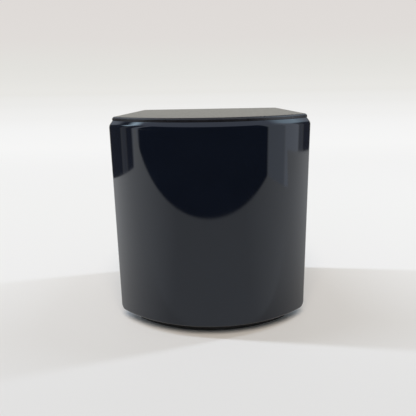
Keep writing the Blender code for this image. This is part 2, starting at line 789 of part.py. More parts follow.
def prism_frame(parent, surface):
    """Upright horseshoe round the cell, on two feet that straddle the socket and the latch."""
    half = side_x(FRAME_BACK_Y, INNER + SPIGOT_WALL) - FRAME_ROOM
    low = (-half, FRAME_FRONT_Y, STAND)
    high = (half, FRAME_BACK_Y, AXIS_Z + FLANGE_HALF)
    frame = blocks("prism_frame", [(low, high)], parent, surface)
    feet = []
    for side in (1, -1):
        x0, x1 = sorted((side * FRAME_FOOT_INNER, side * (FRAME_FOOT_INNER + FRAME_FOOT_WIDTH)))
        foot_high = (x1, FRAME_FOOT_END_Y, STAND + FRAME_FOOT_HEIGHT)
        feet.append(((x0, FRAME_BACK_Y - OVERLAP, STAND), foot_high))
    combine(frame, blocks("frame_feet", feet, parent), "UNION")
    combine(frame, frame_gussets(parent), "UNION")
    through = cylinder_profile(CELL_RADIUS + FIT, FRAME_FRONT_Y - OVERLAP, FRAME_BACK_Y + OVERLAP)
    axis = [Matrix.Translation((0, 0, AXIS_Z)) @ ALONG_Y]
    combine(frame, turned("cell_opening", through, LARGE_SIDES, parent, None, axis), "DIFFERENCE")
    arch_low = (-ARCH_HALF, FRAME_FRONT_Y - OVERLAP, STAND - OVERLAP)
    arch_top = AXIS_Z - math.sqrt((CELL_RADIUS + FIT) ** 2 - ARCH_HALF**2) + OVERLAP
    arch_high = (ARCH_HALF, FRAME_BACK_Y + OVERLAP, arch_top)
    combine(frame, blocks("latch_arch", [(arch_low, arch_high)], parent), "DIFFERENCE")
    tapped = cylinder_profile(HOLE_RADIUS, FRAME_FRONT_Y - OVERLAP, FRAME_BACK_Y + OVERLAP)
    places = [place @ ALONG_Y for place in cell_screw_places(0)]
    combine(frame, turned("cell_screw_holes", tapped, SMALL_SIDES, parent, None, places), "DIFFERENCE")
    foot_hole = cylinder_profile(HOLE_RADIUS, STAND - OVERLAP, STAND + FRAME_FOOT_HEIGHT + OVERLAP)
    places = shifted(frame_screw_places())
    combine(frame, turned("foot_screw_holes", foot_hole, SMALL_SIDES, parent, None, places), "DIFFERENCE")
    return frame


def frame_gussets(parent):
    """Web between each foot and the upright, on the foot's inner edge."""
    foot_top = STAND + FRAME_FOOT_HEIGHT
    y0 = FRAME_BACK_Y - OVERLAP
    y1 = FRAME_FOOT_END_Y - OVERLAP
    section = (
        (y0, foot_top - OVERLAP),
        (y1, foot_top - OVERLAP),
        (y1, foot_top + OVERLAP),
        (y0, foot_top + GUSSET_HEIGHT),
    )
    bm = bmesh.new()
    for side in (1, -1):
        inner = side * (FRAME_FOOT_INNER + OVERLAP / 2)
        outer = inner + side * GUSSET_WIDTH
        add_levels(bm, [[(x, y, z) for y, z in section] for x in (inner, outer)])
    return piece("frame_gussets", bm, parent)


def frame_screws(parent, surface):
    length = STAND + FRAME_FOOT_HEIGHT - FIT - SEAT_Z
    names = ("frame_screw_left", "frame_screw_right")
    for name, place in zip(names, shifted(frame_screw_places(), SEAT_Z)):
        screw(name, length, place, parent, surface)


def cone_radius(height, offset):
    """Radius round the cube's edges, a distance from its tip and a depth away from those edges."""
    return CUBE_SLOPE * height + CUBE_NORMAL * offset


def cone_height(radius, offset):
    return (radius - CUBE_NORMAL * offset) / CUBE_SLOPE


def cell_screw_places(y):
    places = []
    for x, z in ((1, 1), (-1, 1), (-1, -1), (1, -1)):
        places.append(Matrix.Translation((x * FLANGE_SCREW, y, AXIS_Z + z * FLANGE_SCREW)))
    return places


def prism_cell(parent, surface):
    """Can round the glass: open in front for the ring, a cone behind, and a square flange."""
    inside = 2 * FIT + SEAT_THICKNESS
    outside = inside + CELL_BACK
    tip = GLASS_HEIGHT + CELL_TIP_ROOM
    end = tip + CELL_BACK
    shoulder = RING_BACK + FIT
    profile = [
        (0, tip),
        (cone_radius(GLASS_HEIGHT - tip, inside), tip),
        (BORE_RADIUS, GLASS_HEIGHT - cone_height(BORE_RADIUS, inside)),
        (BORE_RADIUS, shoulder),
        (RING_RADIUS + FIT, shoulder),
        (RING_RADIUS + FIT, RING_FRONT),
        (CELL_RADIUS, RING_FRONT),
        (CELL_RADIUS, GLASS_HEIGHT - cone_height(CELL_RADIUS, outside)),
        (cone_radius(GLASS_HEIGHT - end, outside), end),
        (0, end),
    ]
    cell = turned("prism_cell", profile, LARGE_SIDES, parent, surface)
    cell.matrix_local = Matrix.Translation((0, FACE_Y, AXIS_Z)) @ ALONG_Y
    combine(cell, cell_flange(parent), "UNION")
    back_y = FLANGE_FRONT_Y + FLANGE_THICKNESS
    hole = cylinder_profile(HOLE_RADIUS, FLANGE_FRONT_Y - OVERLAP, back_y + OVERLAP)
    places = [place @ ALONG_Y for place in cell_screw_places(0)]
    combine(cell, turned("flange_holes", hole, SMALL_SIDES, parent, None, places), "DIFFERENCE")
    return cell


def cell_flange(parent):
    """Square flange, already open for the can that it is joined to."""
    back_y = FLANGE_FRONT_Y + FLANGE_THICKNESS
    low = (-FLANGE_HALF, FLANGE_FRONT_Y, AXIS_Z - FLANGE_HALF)
    high = (FLANGE_HALF, back_y, AXIS_Z + FLANGE_HALF)
    flange = blocks("cell_flange", [(low, high)], parent)
    opening = cylinder_profile(
        CELL_RADIUS - CELL_WALL / 2, FLANGE_FRONT_Y - OVERLAP, back_y + OVERLAP
    )
    axis = [Matrix.Translation((0, 0, AXIS_Z)) @ ALONG_Y]
    combine(flange, turned("flange_opening", opening, LARGE_SIDES, parent, None, axis), "DIFFERENCE")
    return flange


def prism_glass(parent, surface):
    """Round front, and three faces square to one another that meet at the tip behind."""
    bm = bmesh.new()
    add_turned(bm, cylinder_profile(GLASS_RADIUS, 0, GLASS_HEIGHT), LARGE_SIDES)
    tip = Vector((0, 0, GLASS_HEIGHT))
    for i in range(3):
        angle = math.pi / 2 + 2 * math.pi * i / 3
        normal = Vector((math.cos(angle) * CUBE_SLOPE, math.sin(angle) * CUBE_SLOPE, 1)).normalized()
        geometry = bm.verts[:] + bm.edges[:] + bm.faces[:]
        cut = bmesh.ops.bisect_plane(
            bm, geom=geometry, plane_co=tip, plane_no=normal, clear_outer=True, dist=1e-7
        )
        rim = [item for item in cut["geom_cut"] if isinstance(item, bmesh.types.BMEdge)]
        bmesh.ops.contextual_create(bm, geom=rim)
    glass = piece("prism_glass", bm, parent, surface)
    glass.matrix_local = Matrix.Translation((0, FACE_Y, AXIS_Z)) @ ALONG_Y
    return glass


def glass_holders(parent, rubber, metal):
    """Conical seat behind the glass, soft ring on its face and threaded ring in front."""
    far = SEAT_NEAR + SEAT_WIDTH
    near_z = GLASS_HEIGHT - SEAT_NEAR
    far_z = GLASS_HEIGHT - far
    seat = [
        (cone_radius(SEAT_NEAR, FIT), near_z),
        (cone_radius(far, FIT), far_z),
        (cone_radius(far, FIT + SEAT_THICKNESS), far_z),
        (cone_radius(SEAT_NEAR, FIT + SEAT_THICKNESS), near_z),
    ]
    lip = GLASS_RADIUS - RING_OVERLAP
    seal_top = -SEAL_FIT
    seal = ring_profile(lip + SEAL_FIT, GLASS_RADIUS - SEAL_FIT, seal_top - RING_SEAL_HEIGHT, seal_top)
    ring = [
        (lip, RING_BACK),
        (lip, RING_FRONT + RING_CHAMFER),
        (lip + RING_CHAMFER, RING_FRONT),
        (RING_RADIUS, RING_FRONT),
        (RING_RADIUS, RING_BACK),
    ]
    axis = Matrix.Translation((0, FACE_Y, AXIS_Z)) @ ALONG_Y
    for name, profile, surface in (
        ("prism_seat", seat, rubber),
        ("ring_seal", seal, rubber),
        ("retaining_ring", ring, metal),
    ):
        made = turned(name, profile, LARGE_SIDES, parent, surface)
        made.matrix_local = axis
    half = RING_NOTCH_WIDTH / 2
    notches = []
    for side in (1, -1):
        x0, x1 = sorted((side * (lip - OVERLAP), side * (RING_RADIUS + OVERLAP)))
        low = (x0, CELL_FRONT_Y - OVERLAP, AXIS_Z - half)
        high = (x1, CELL_FRONT_Y + RING_NOTCH_DEPTH, AXIS_Z + half)
        notches.append((low, high))
    combine(made, blocks("ring_notches", notches, parent), "DIFFERENCE")


def cell_screws(parent, surface):
    seat = FLANGE_FRONT_Y - FIT
    length = FRAME_BACK_Y - FIT - seat
    for i, place in enumerate(cell_screw_places(seat), 1):
        screw(f"cell_screw_{i}", length, place @ ALONG_Y, parent, surface)


def latch_guide(parent, surface):
    """Bridge over the latch's tail, with a post for the spring."""
    low = (-GUIDE_HALF, GUIDE_FRONT_Y, STAND)
    high = (GUIDE_HALF, GUIDE_REAR_Y, BUTTON_Z + GUIDE_RISE)
    guide = blocks("latch_guide", [(low, high)], parent, surface)
    leg_top = STAND + GUIDE_LEG_HEIGHT
    legs = []
    for side in (1, -1):
        x0, x1 = sorted((side * GUIDE_INNER, side * GUIDE_HALF))
        leg_y = GUIDE_FRONT_Y - GUIDE_LEG_LENGTH
        legs.append(((x0, leg_y, STAND), (x1, GUIDE_FRONT_Y + OVERLAP, leg_top)))
    combine(guide, blocks("guide_legs", legs, parent), "UNION")
    tunnel_low = (-GUIDE_INNER, GUIDE_FRONT_Y - OVERLAP, STAND - OVERLAP)
    tunnel_high = (GUIDE_INNER, GUIDE_REAR_Y + OVERLAP, LATCH_TOP + FIT)
    combine(guide, blocks("guide_tunnel", [(tunnel_low, tunnel_high)], parent), "DIFFERENCE")
    post = cylinder_profile(POST_RADIUS, GUIDE_REAR_Y - OVERLAP, GUIDE_REAR_Y + POST_LENGTH)
    place = [Matrix.Translation((0, 0, BUTTON_Z)) @ ALONG_Y]
    combine(guide, turned("spring_post", post, SMALL_SIDES, parent, None, place), "UNION")
    hole = cylinder_profile(HOLE_RADIUS, STAND - OVERLAP, leg_top + OVERLAP)
    places = shifted(guide_screw_places())
    combine(guide, turned("guide_screw_holes", hole, SMALL_SIDES, parent, None, places), "DIFFERENCE")
    return guide


def guide_screws(parent, surface):
    length = STAND + GUIDE_LEG_HEIGHT - FIT - SEAT_Z
    names = ("guide_screw_left", "guide_screw_right")
    for name, place in zip(names, shifted(guide_screw_places(), SEAT_Z)):
        screw(name, length, place, parent, surface)


def latch_plate(slide, surface):
    """Flat ring round the socket, with a tongue that bites the spigot and a tail up to the button."""
    front_y = -LATCH_CLEAR - LATCH_BAR
    ring_rear_y = LATCH_REAR_Y + LATCH_BAR
    plan = [
        (LATCH_HALF, front_y),
        (LATCH_HALF, ring_rear_y),
        (TAIL_HALF, ring_rear_y),
        (TAIL_HALF, TAB_REAR_Y),
    ]
    outline = plan + mirrored(plan)
    bm = bmesh.new()
    add_levels(bm, [at_height(outline, STAND - BUTTON_Z), at_height(outline, LATCH_TOP - BUTTON_Z)])
    latch = piece("latch_plate", bm, slide, surface)
    low = STAND - BUTTON_Z
    high = LATCH_TOP - BUTTON_Z
    opening = ((-LATCH_CLEAR, -LATCH_CLEAR, low - OVERLAP), (LATCH_CLEAR, LATCH_REAR_Y, high + OVERLAP))
    combine(latch, blocks("latch_opening", [opening], slide), "DIFFERENCE")
    half = LATCH_TONGUE / 2
    tongue = ((-half, -LATCH_CLEAR - LATCH_BAR / 2, low), (half, LATCH_TIP_Y, high))
    combine(latch, blocks("latch_tongue", [tongue], slide), "UNION")
    tab = ((-TAIL_HALF, TAB_FRONT_Y, low), (TAIL_HALF, TAB_REAR_Y, TAB_RISE))
    combine(latch, blocks("latch_tab", [tab], slide), "UNION")
    hole = cylinder_profile(HOLE_RADIUS, TAB_FRONT_Y - OVERLAP, TAB_REAR_Y + OVERLAP)
    combine(latch, turned("tab_hole", hole, SMALL_SIDES, slide, None, [ALONG_Y]), "DIFFERENCE")
    return latch


def release_button(slide, plastic, rubber, metal):
    """Push button with its seal, screwed to the latch's tab."""
    groove_y = INNER_BACK_Y + BUTTON_GROOVE_Y
    groove_end = groove_y + BUTTON_SEAL_WIDTH + 2 * SEAL_FIT
    groove_radius = BUTTON_RADIUS - BUTTON_GROOVE
    profile = [
        (0, BEZEL_INNER_Y + BUTTON_HOLE),
        (HOLE_RADIUS, BEZEL_INNER_Y + BUTTON_HOLE),
        (HOLE_RADIUS, BEZEL_INNER_Y),
        (BUTTON_RADIUS, BEZEL_INNER_Y),
        (BUTTON_RADIUS, groove_y),
        (groove_radius, groove_y),
        (groove_radius, groove_end),
        (BUTTON_RADIUS, groove_end),
    ]
    rim = BUTTON_TIP_Y - BUTTON_CROWN
    for i in range(RIM_STEPS):
        angle = math.pi / 2 * i / RIM_STEPS
        profile.append((BUTTON_RADIUS * math.cos(angle), rim + BUTTON_CROWN * math.sin(angle)))
    profile.append((0, BUTTON_TIP_Y))
    button = turned("release_button", profile, MIDDLE_SIDES, slide, plastic)
    seal_y = groove_y + SEAL_FIT
    seal = ring_profile(
        groove_radius + SEAL_FIT, BEZEL_BORE - SEAL_FIT, seal_y, seal_y + BUTTON_SEAL_WIDTH
    )
    ring = turned("button_seal", seal, MIDDLE_SIDES, slide, rubber)
    for made in (button, ring):
        made.matrix_local = ALONG_Y
    seat = TAB_FRONT_Y - FIT
    length = BEZEL_INNER_Y + BUTTON_HOLE - FIT - seat
    screw("button_screw", length, Matrix.Translation((0, seat, 0)) @ ALONG_Y, slide, metal)


def button_bezel(parent, surface, metal):
    """Collar in the back wall that the button runs in, held by a nut inside."""
    face_y = BACK_Y + SEAL_FIT
    front_y = face_y + BEZEL_THICKNESS
    flange = BEZEL_RADIUS + BEZEL_FLANGE
    collar = [
        (BEZEL_BORE, BEZEL_INNER_Y),
        (BEZEL_RADIUS, BEZEL_INNER_Y),
        (BEZEL_RADIUS, face_y),
        (flange, face_y),
        (flange, front_y - BEZEL_ROUND),
        (flange - BEZEL_ROUND, front_y),
        (BEZEL_BORE, front_y),
    ]
    nut = ring_profile(BEZEL_RADIUS + FIT, NUT_RADIUS, NUT_REAR_Y - NUT_THICKNESS, NUT_REAR_Y)
    for name, profile, finish in (("button_bezel", collar, surface), ("bezel_nut", nut, metal)):
        made = turned(name, profile, MIDDLE_SIDES, parent, finish)
        made.matrix_local = Matrix.Translation((0, 0, BUTTON_Z)) @ ALONG_Y


def spring_points():
    """Middle of the wire, wound from the guide to the latch's tab."""
    start = GUIDE_REAR_Y + SEAL_FIT + SPRING_WIRE / 2
    length = SPRING_LENGTH - SPRING_WIRE
    steps = SPRING_TURNS * CURL_POINTS
    points = []
    for i in range(steps + 1):
        angle = 2 * math.pi * i / CURL_POINTS
        y = start + length * i / steps
        points.append(Vector((SPRING_RADIUS * math.cos(angle), y, SPRING_RADIUS * math.sin(angle))))
    return points


def least_gap(points):
    """Narrowest space between one turn of the wire and the next."""
    apart = CURL_POINTS // 2
    least = math.inf
    for i, first in enumerate(points):
        for second in points[i + apart :]:
            least = min(least, (second - first).length)
    return least - SPRING_WIRE


def latch_spring(slide, surface):
    """Coil that pushes the button out."""
    points = spring_points()
    print(f"latch_spring least gap to itself: {least_gap(points) * 1000:.2f} mm")
    curve = bpy.data.curves.new("latch_spring", "CURVE")
    curve.dimensions = "3D"
    curve.bevel_depth = SPRING_WIRE / 2
    curve.bevel_resolution = 1
    curve.use_fill_caps = True
    spline = curve.splines.new("POLY")
    spline.points.add(len(points) - 1)
    for point, place in zip(spline.points, points):
        point.co = (*place, 1)
    curve.materials.append(surface)
    spring = bpy.data.objects.new("latch_spring", curve)
    bpy.context.collection.objects.link(spring)
    spring.parent = slide


def build():
    for old in list(bpy.data.objects):
        bpy.data.objects.remove(old)
    gloss = material("window_gloss_black", (0.004, 0.004, 0.006), 0.06)
    satin = material("housing_satin_black", (0.012, 0.012, 0.014), 0.45)
    rubber = material("seal_rubber", (0.010, 0.010, 0.010), 0.75)
    anodised = material("anodised_black", (0.020, 0.020, 0.022), 0.40, 0.9)
    metal = material("plain_aluminium", (0.55, 0.55, 0.56), 0.35, 1.0)
    steel = material("screw_steel", (0.50, 0.50, 0.52), 0.30, 1.0)
    brass = material("insert_brass", (0.60, 0.42, 0.16), 0.35, 1.0)
    glass = material("prism_glass", (0.90, 0.95, 0.95), 0.02)
    assembly = empty("assembly", (0, ASSEMBLY_Y, 0))
    slide = empty("latch_slide", (0, 0, BUTTON_Z), assembly)
    front_window(assembly, gloss)
    rear_housing(assembly, satin)
    window_seals(assembly, rubber)
    top_cap(assembly, satin)
    gasket("top_gasket", RIM_UNDER - GASKET_EDGE - SEAL_FIT, assembly, rubber)
    cap_screws(assembly, steel)
    housing_inserts(assembly, brass)
    base_plate(assembly, anodised)
    gasket("base_gasket", BASE_TOP - GASKET_EDGE - SEAL_FIT, assembly, rubber)
    foot_pad(assembly, rubber)
    base_screws(assembly, steel)
    spigot_socket(assembly, steel)
    socket_screws(assembly, steel)
    prism_frame(assembly, metal)
    frame_screws(assembly, steel)
    prism_cell(assembly, anodised)
    prism_glass(assembly, glass)
    glass_holders(assembly, rubber, anodised)
    cell_screws(assembly, steel)
    latch_guide(assembly, metal)
    guide_screws(assembly, steel)
    button_bezel(assembly, anodised, metal)
    latch_plate(slide, steel)
    release_button(slide, satin, rubber, steel)
    latch_spring(slide, steel)


build()
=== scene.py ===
"""Looks of the enclosed survey prism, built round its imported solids.

Sizes are in metres and angles in degrees. X points to the right, Y to the back and Z up, as in
the solids. Azimuths are counted from the front, towards the right.
"""

import json
import math

import bmesh
import bpy
from mathutils import Matrix, Vector

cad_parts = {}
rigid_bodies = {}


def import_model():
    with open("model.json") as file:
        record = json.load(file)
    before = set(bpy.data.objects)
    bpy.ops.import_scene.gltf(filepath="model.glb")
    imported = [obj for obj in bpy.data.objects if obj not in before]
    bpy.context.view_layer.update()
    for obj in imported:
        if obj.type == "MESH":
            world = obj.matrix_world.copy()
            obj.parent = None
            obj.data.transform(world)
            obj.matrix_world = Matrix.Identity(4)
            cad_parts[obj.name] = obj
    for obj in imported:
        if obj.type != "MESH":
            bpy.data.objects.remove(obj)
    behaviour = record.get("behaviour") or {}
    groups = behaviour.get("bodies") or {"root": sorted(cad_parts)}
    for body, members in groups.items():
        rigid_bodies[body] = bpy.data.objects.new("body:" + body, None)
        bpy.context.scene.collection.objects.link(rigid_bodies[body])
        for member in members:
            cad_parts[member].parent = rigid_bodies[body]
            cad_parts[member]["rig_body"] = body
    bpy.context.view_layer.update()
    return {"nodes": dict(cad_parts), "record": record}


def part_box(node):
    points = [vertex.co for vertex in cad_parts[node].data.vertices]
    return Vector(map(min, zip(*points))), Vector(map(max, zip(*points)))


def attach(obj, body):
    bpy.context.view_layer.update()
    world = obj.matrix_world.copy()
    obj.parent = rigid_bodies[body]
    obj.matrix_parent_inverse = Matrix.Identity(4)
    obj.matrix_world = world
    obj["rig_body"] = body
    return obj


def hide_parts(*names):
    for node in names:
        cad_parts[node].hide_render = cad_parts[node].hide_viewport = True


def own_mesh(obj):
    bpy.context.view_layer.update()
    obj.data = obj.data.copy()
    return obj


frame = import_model()
NODES = frame["nodes"]
SLOT_OF = {part["node"]: part["material_slot"] for part in frame["record"]["subparts"]}

# Camera, from the edges of the object in the photograph
CAMERA_PLACE = Vector((0.00102, -0.19018, 0.09191))
CAMERA_HEADING = 0.72
CAMERA_PITCH = 14.92
CAMERA_ROLL = 1.05
LENS = 39.29
SENSOR = 36.0
CLIP = (0.005, 50.0)

# Plan of the body, as in the solids
HALF_WIDTH = 0.0375
SIDE_TAPER = 0.0045
BODY_DEPTH = 0.0530
FRONT_RADIUS = 0.0510
CORNER_RADIUS = 0.0020
REAR_RADIUS = 0.0030
LEAST_RADIUS = 0.0002
WALL = 0.0030
FIT = 0.0003
SEAL_FIT = 0.00015

# Rims of the hood
FRONT_RIM = 0.0007
SIDE_RIM = 0.0025
TOP_BEVEL = 0.0013
TOP_BEVEL_HEIGHT = 0.0018
BEVEL_FOOT = 0.0008
BEVEL_EDGE = 0.0002
JOINT_EDGE = 0.0003
STRIP_SINK = 0.0005
STRIP_BEAD = 0.0003
TONGUE_THICKNESS = 0.0015
TONGUE_LENGTH = 0.0030
TONGUE_ROOT = 0.0024

# Cap
CAP_INSET = 0.0013
CAP_ROUND = 0.0010
CAP_EDGE = 0.0012
CAP_SEAM = 0.00003
CAP_PLATE = 0.0032
SPIGOT_HEIGHT = 0.0035
SPIGOT_WALL = 0.0020
GASKET_HEIGHT = 0.0013
GASKET_DEPTH = 0.0011
GASKET_EDGE = 0.0008
BOSS_RADIUS = 0.0028
BOSS_BLIND = 0.0016

# Foot
FOOT_FRONT_INSET = 0.0050
FOOT_SIDE_INSET = 0.0075
FOOT_CORNER = 0.0020
FOOT_BEVEL = 0.0004
FOOT_SCALLOP = 0.0009
TREAD_INSET = 0.0030
TREAD_WIDTH = 0.0012
TREAD_SLOPE = 0.0002
TREAD_DEPTH = 0.0006

# Lugs, screws and inserts
LUG_WIDTH = 0.0070
LUG_EDGE = 0.0034
LUG_ROOF = 0.0024
TOP_LUG_HEIGHT = 0.0050
SHANK_RADIUS = 0.00125
HEAD_RADIUS = 0.00215
HEAD_HEIGHT = 0.0018
HEAD_CHAMFER = 0.0003
DRIVE_FLAT = 0.0010
DRIVE_DEPTH = 0.0010
DRIVE_CHAMFER = 0.00015
THREAD_PITCH = 0.00045
THREAD_DEPTH = 0.0002
SCREW_TIP = 0.0003
INSERT_TOOTH = 0.0002
INSERT_GROOVE = 0.0004

# Socket
SOCKET_BORE = 0.0061
SOCKET_RADIUS = 0.0085
SOCKET_FLANGE = 0.0031
SOCKET_ROOF = 0.0015
SOCKET_MOUTH = 0.0006
SOCKET_CHAMFER = 0.0003
LATCH_TONGUE = 0.0080
LATCH_THICKNESS = 0.0020
LATCH_BITE = 0.0012

# Release button and its collar
BUTTON_RADIUS = 0.0055
BUTTON_CROWN = 0.0008
BUTTON_GROOVE = 0.0009
BUTTON_GROOVE_Y = 0.0008
BUTTON_SEAL_WIDTH = 0.0009
BUTTON_HOLE = 0.0050
BUTTON_RINGS = (0.0020, 0.0033)
BUTTON_RING_WIDTH = 0.0005
BUTTON_RING_DEPTH = 0.00025
BEZEL_BORE = 0.0058
BEZEL_RADIUS = 0.0068
BEZEL_THICKNESS = 0.0014
BEZEL_ROUND = 0.0005
BEZEL_TOOTH = 0.00025
BEZEL_LIP = 0.0003

# Spring and glass
SPRING_RADIUS = 0.0033
SPRING_WIRE = 0.0007
SPRING_TURNS = 4
CUBE_FACES = 3
CUBE_SLOPE = math.sqrt(2)
GLASS_BEVEL = 0.00012
GLASS_BEVEL_STEPS = 2

# Fineness
ARC_STEPS = 48
CORNER_STEPS = 10
RIM_STEPS = 8
EDGE_STEPS = 4
LARGE_SIDES = 96
SMALL_SIDES = 24
CURL_POINTS = 32
WIRE_SIDES = 12
SHARP_ANGLE = 32.0

# How far a Boolean's pieces run into or past each other, and how near to a cut's plane counts as on it
OVERLAP = 0.0006
CUT_TOLERANCE = 1e-7

# Finishes: the span of a noise that changes them, wear by how far an edge turns the normal, and lines that
# a lathe leaves. A wave texture of scale 1 turns by WAVE_RATE radians to the metre.
NOISE_SPAN = (0.3, 0.7)
WORN_COSINES = (0.99, 0.85)
WORN_SCALE = 900
WORN_SPAN = (0.42, 0.62)
WAVE_RATE = 20.0
LATHE_DISTORTION = 1.5
LATHE_DETAIL = 2.0

# Places of the colours among a Mix node's inputs and outputs
MIX_FIRST, MIX_SECOND, MIX_RESULT = 6, 7, 2

# Nodes that belong together
LUG_SCREWS = [f"base_screw_{i}" for i in (1, 2, 3, 4)]
INSERTS = [f"housing_insert_{i}" for i in (1, 2, 3, 4)]
SOCKET_SCREWS = [f"socket_screw_{i}" for i in (1, 2, 3)]
CHASSIS_SCREWS = ["frame_screw_left", "frame_screw_right", "guide_screw_left", "guide_screw_right"]

# Places taken from the solids
WINDOW_LOW, WINDOW_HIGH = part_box("front_window")
FRONT_Y = WINDOW_LOW.y
WINDOW_END_Y = WINDOW_HIGH.y
SHELL_BOTTOM = WINDOW_LOW.z
SHELL_TOP = WINDOW_HIGH.z
BACK_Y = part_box("rear_housing")[1].y
CAP_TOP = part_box("top_cap")[1].z
BASE_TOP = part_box("base_plate")[1].z
FOOT_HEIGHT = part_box("foot_pad")[1].z
SOCKET_LOW, SOCKET_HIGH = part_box("spigot_socket")
BEZEL_LOW, BEZEL_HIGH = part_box("button_bezel")
BUTTON_TIP_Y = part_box("release_button")[1].y
SEAL_LOW, SEAL_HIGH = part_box("window_seal_right")
INSERT_LOW, INSERT_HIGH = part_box(INSERTS[0])
CAP_SCREW_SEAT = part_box("cap_screw_1")[0].z + HEAD_HEIGHT

AXIS_Y = (SOCKET_LOW.y + SOCKET_HIGH.y) / 2
FLANGE_RADIUS = (SOCKET_HIGH.x - SOCKET_LOW.x) / 2
BUTTON_Z = (BEZEL_LOW.z + BEZEL_HIGH.z) / 2
BEZEL_FLANGE = (BEZEL_HIGH.x - BEZEL_LOW.x) / 2
ARC_CENTRE = Vector((0, FRONT_Y + FRONT_RADIUS))
CORNER_Y = ARC_CENTRE.y - math.sqrt(FRONT_RADIUS**2 - HALF_WIDTH**2)
SIDE_START = Vector((HALF_WIDTH, CORNER_Y))
SIDE_LINE = Vector((-SIDE_TAPER, BODY_DEPTH)).normalized()
SIDE_NORMAL = Vector((SIDE_LINE.y, -SIDE_LINE.x))
SIDE_ANGLE = math.atan2(SIDE_NORMAL.y, SIDE_NORMAL.x)
HOUSING_FRONT_Y = SEAL_HIGH.y + SEAL_FIT
INNER = WALL + FIT
INNER_BACK_Y = BACK_Y - WALL
RIM_UNDER = CAP_TOP - CAP_EDGE
CAP_UNDER = CAP_TOP - CAP_PLATE
HOLE_RADIUS = SHANK_RADIUS + FIT
RECESS_RADIUS = HEAD_RADIUS + FIT
RECESS_DEPTH = HEAD_HEIGHT + 2 * FIT
TOP_LUG_BOTTOM = CAP_SCREW_SEAT + FIT
TOP_LUG_TOP = TOP_LUG_BOTTOM + TOP_LUG_HEIGHT

# Where turned pieces go. ALONG_Y lays what stands along Z along Y, pointing back.
ALONG_Y = Matrix.Rotation(-math.pi / 2, 4, "X")
BUTTON_AXIS = Matrix.Translation((0, 0, BUTTON_Z)) @ ALONG_Y
SOCKET_AXIS = Matrix.Translation((0, AXIS_Y, 0))

# Studio. The table ends at a bowed edge in front, and the dark room hides it beyond a line on the
# left and on the right, as the mirrored edges in the window show. The gains are how much brighter the
# window shows the table at the left and the right.
TABLE_FRONT_Y = -0.197
TABLE_FRONT_BOW = 0.21
TABLE_FRONT_SLANT = 0.03
TABLE_LEFT_X = -0.358
TABLE_LEFT_SLOPE = 0.32
TABLE_LEFT_AZIMUTH = -72.0
TABLE_RIGHT_X = 0.28
TABLE_RIGHT_AZIMUTH = 73.0
TABLE_END_X = 0.53
TABLE_SOFT = 0.010
AZIMUTH_SOFT = 1.5
FLOOR_HALF = 8.0
MIRRORED_AZIMUTHS = (30.0, 95.0)
MIRRORED_GAINS = (2.4, 1.9)

# Light: an upright strip on each side, by azimuth, heights from and to, distance, width and power,
# a broad lamp in front and a plain dome
SIDE_LAMPS = {
    "lamp_left": (-97.0, (15, 78), 2.44, 0.10, 27.5),
    "lamp_right": (105.5, (20, 70), 1.03, 0.06, 2.55),
}
SIDE_COLOUR = (0.773, 0.867, 1.0)
LAMP_AIM = Vector((0, 0, 0.04))
FRONT_HEIGHT = 56.0
FRONT_SIZE = 30.0
FRONT_STRENGTH = 1.73
FRONT_COLOUR = (1.0, 0.879, 0.758)
DOME = (0.225, 0.24, 0.24)

# Room that gloss and glass show: a backdrop, pale below a height and dark above, and patches by azimuths
# from and to, heights from and to, soft edge and brightness
BACKDROP_HEIGHT = 22.0
BACKDROP_SOFT = 6.0
BACKDROP_LOW = (0.90, 0.88, 0.80)
BACKDROP_HIGH = (0.15, 0.15, 0.16)
ROOM = (
    ((-130, 130), (44, 95), 8, (0.88, 0.94, 1.12)),
    ((-112, -89), (-95, 44), 3, (0.11, 0.11, 0.13)),
    ((-89, -83), (-95, 44), 3, (0.40, 0.41, 0.46)),
    ((-83, -75), (-95, 44), 3, (0.12, 0.12, 0.15)),
    ((-75, -68), (-95, 44), 3, (1.30, 1.36, 1.50)),
    ((-68, 54), (-95, 44), 3, (0.03, 0.03, 0.04)),
    ((54, 72), (-95, 44), 3, (0.98, 1.04, 1.15)),
    ((72, 89), (-95, 44), 3, (1.40, 1.48, 1.65)),
    ((89, 95), (-95, 44), 3, (0.50, 0.52, 0.58)),
    ((95, 115), (-95, 44), 3, (0.14, 0.14, 0.17)),
    ((-150, -110), (24, 60), 8, (1.0, 1.08, 1.25)),
    ((110, 150), (24, 60), 8, (1.0, 1.08, 1.25)),
    ((-99, -91), (30, 60), 8, (4.2, 5.3, 6.2)),
    ((86, 112), (30, 60), 16, (2.2, 2.8, 3.3)),
)

# Shades of the backdrop as the camera sees it, by height, and of the floor, by depth, tuned against the
# photograph. The floor's shades are painted shade: darker towards the front and lightest about half a
# metre back. PLAIN_FLOOR has the distances between which the lit floor turns plain.
SKY = (
    (0.0, (0.806, 0.798, 0.772)),
    (1.2, (0.783, 0.775, 0.747)),
    (2.6, (0.764, 0.756, 0.726)),
    (5.6, (0.745, 0.716, 0.694)),
    (9.8, (0.735, 0.702, 0.682)),
)
SKY_SPAN = (0.0, 10.0)
FLOOR_PAINTED_SHADE = (
    (-0.075, (0.772, 0.772, 0.768)),
    (-0.030, (0.810, 0.810, 0.806)),
    (0.025, (0.865, 0.865, 0.862)),
    (0.15, (0.875, 0.878, 0.870)),
    (0.33, (0.890, 0.890, 0.888)),
    (0.55, (0.922, 0.922, 0.918)),
    (0.85, (0.905, 0.905, 0.903)),
    (1.3, (0.873, 0.870, 0.862)),
    (2.6, (0.836, 0.832, 0.817)),
    (7.9, (0.806, 0.799, 0.775)),
)
FLOOR_SPAN = (-0.2, 8.0)
PLAIN_FLOOR = (0.20, 0.50)


def feed(tree, node, values):
    """Sets a node's inputs to numbers and colours, or links them to other nodes' results."""
    for name, value in values.items():
        socket = node.inputs[name]
        if isinstance(value, bpy.types.NodeSocket):
            tree.links.new(value, socket)
        elif socket.type == "RGBA":
            socket.default_value = (*value, 1)
        else:
            socket.default_value = value


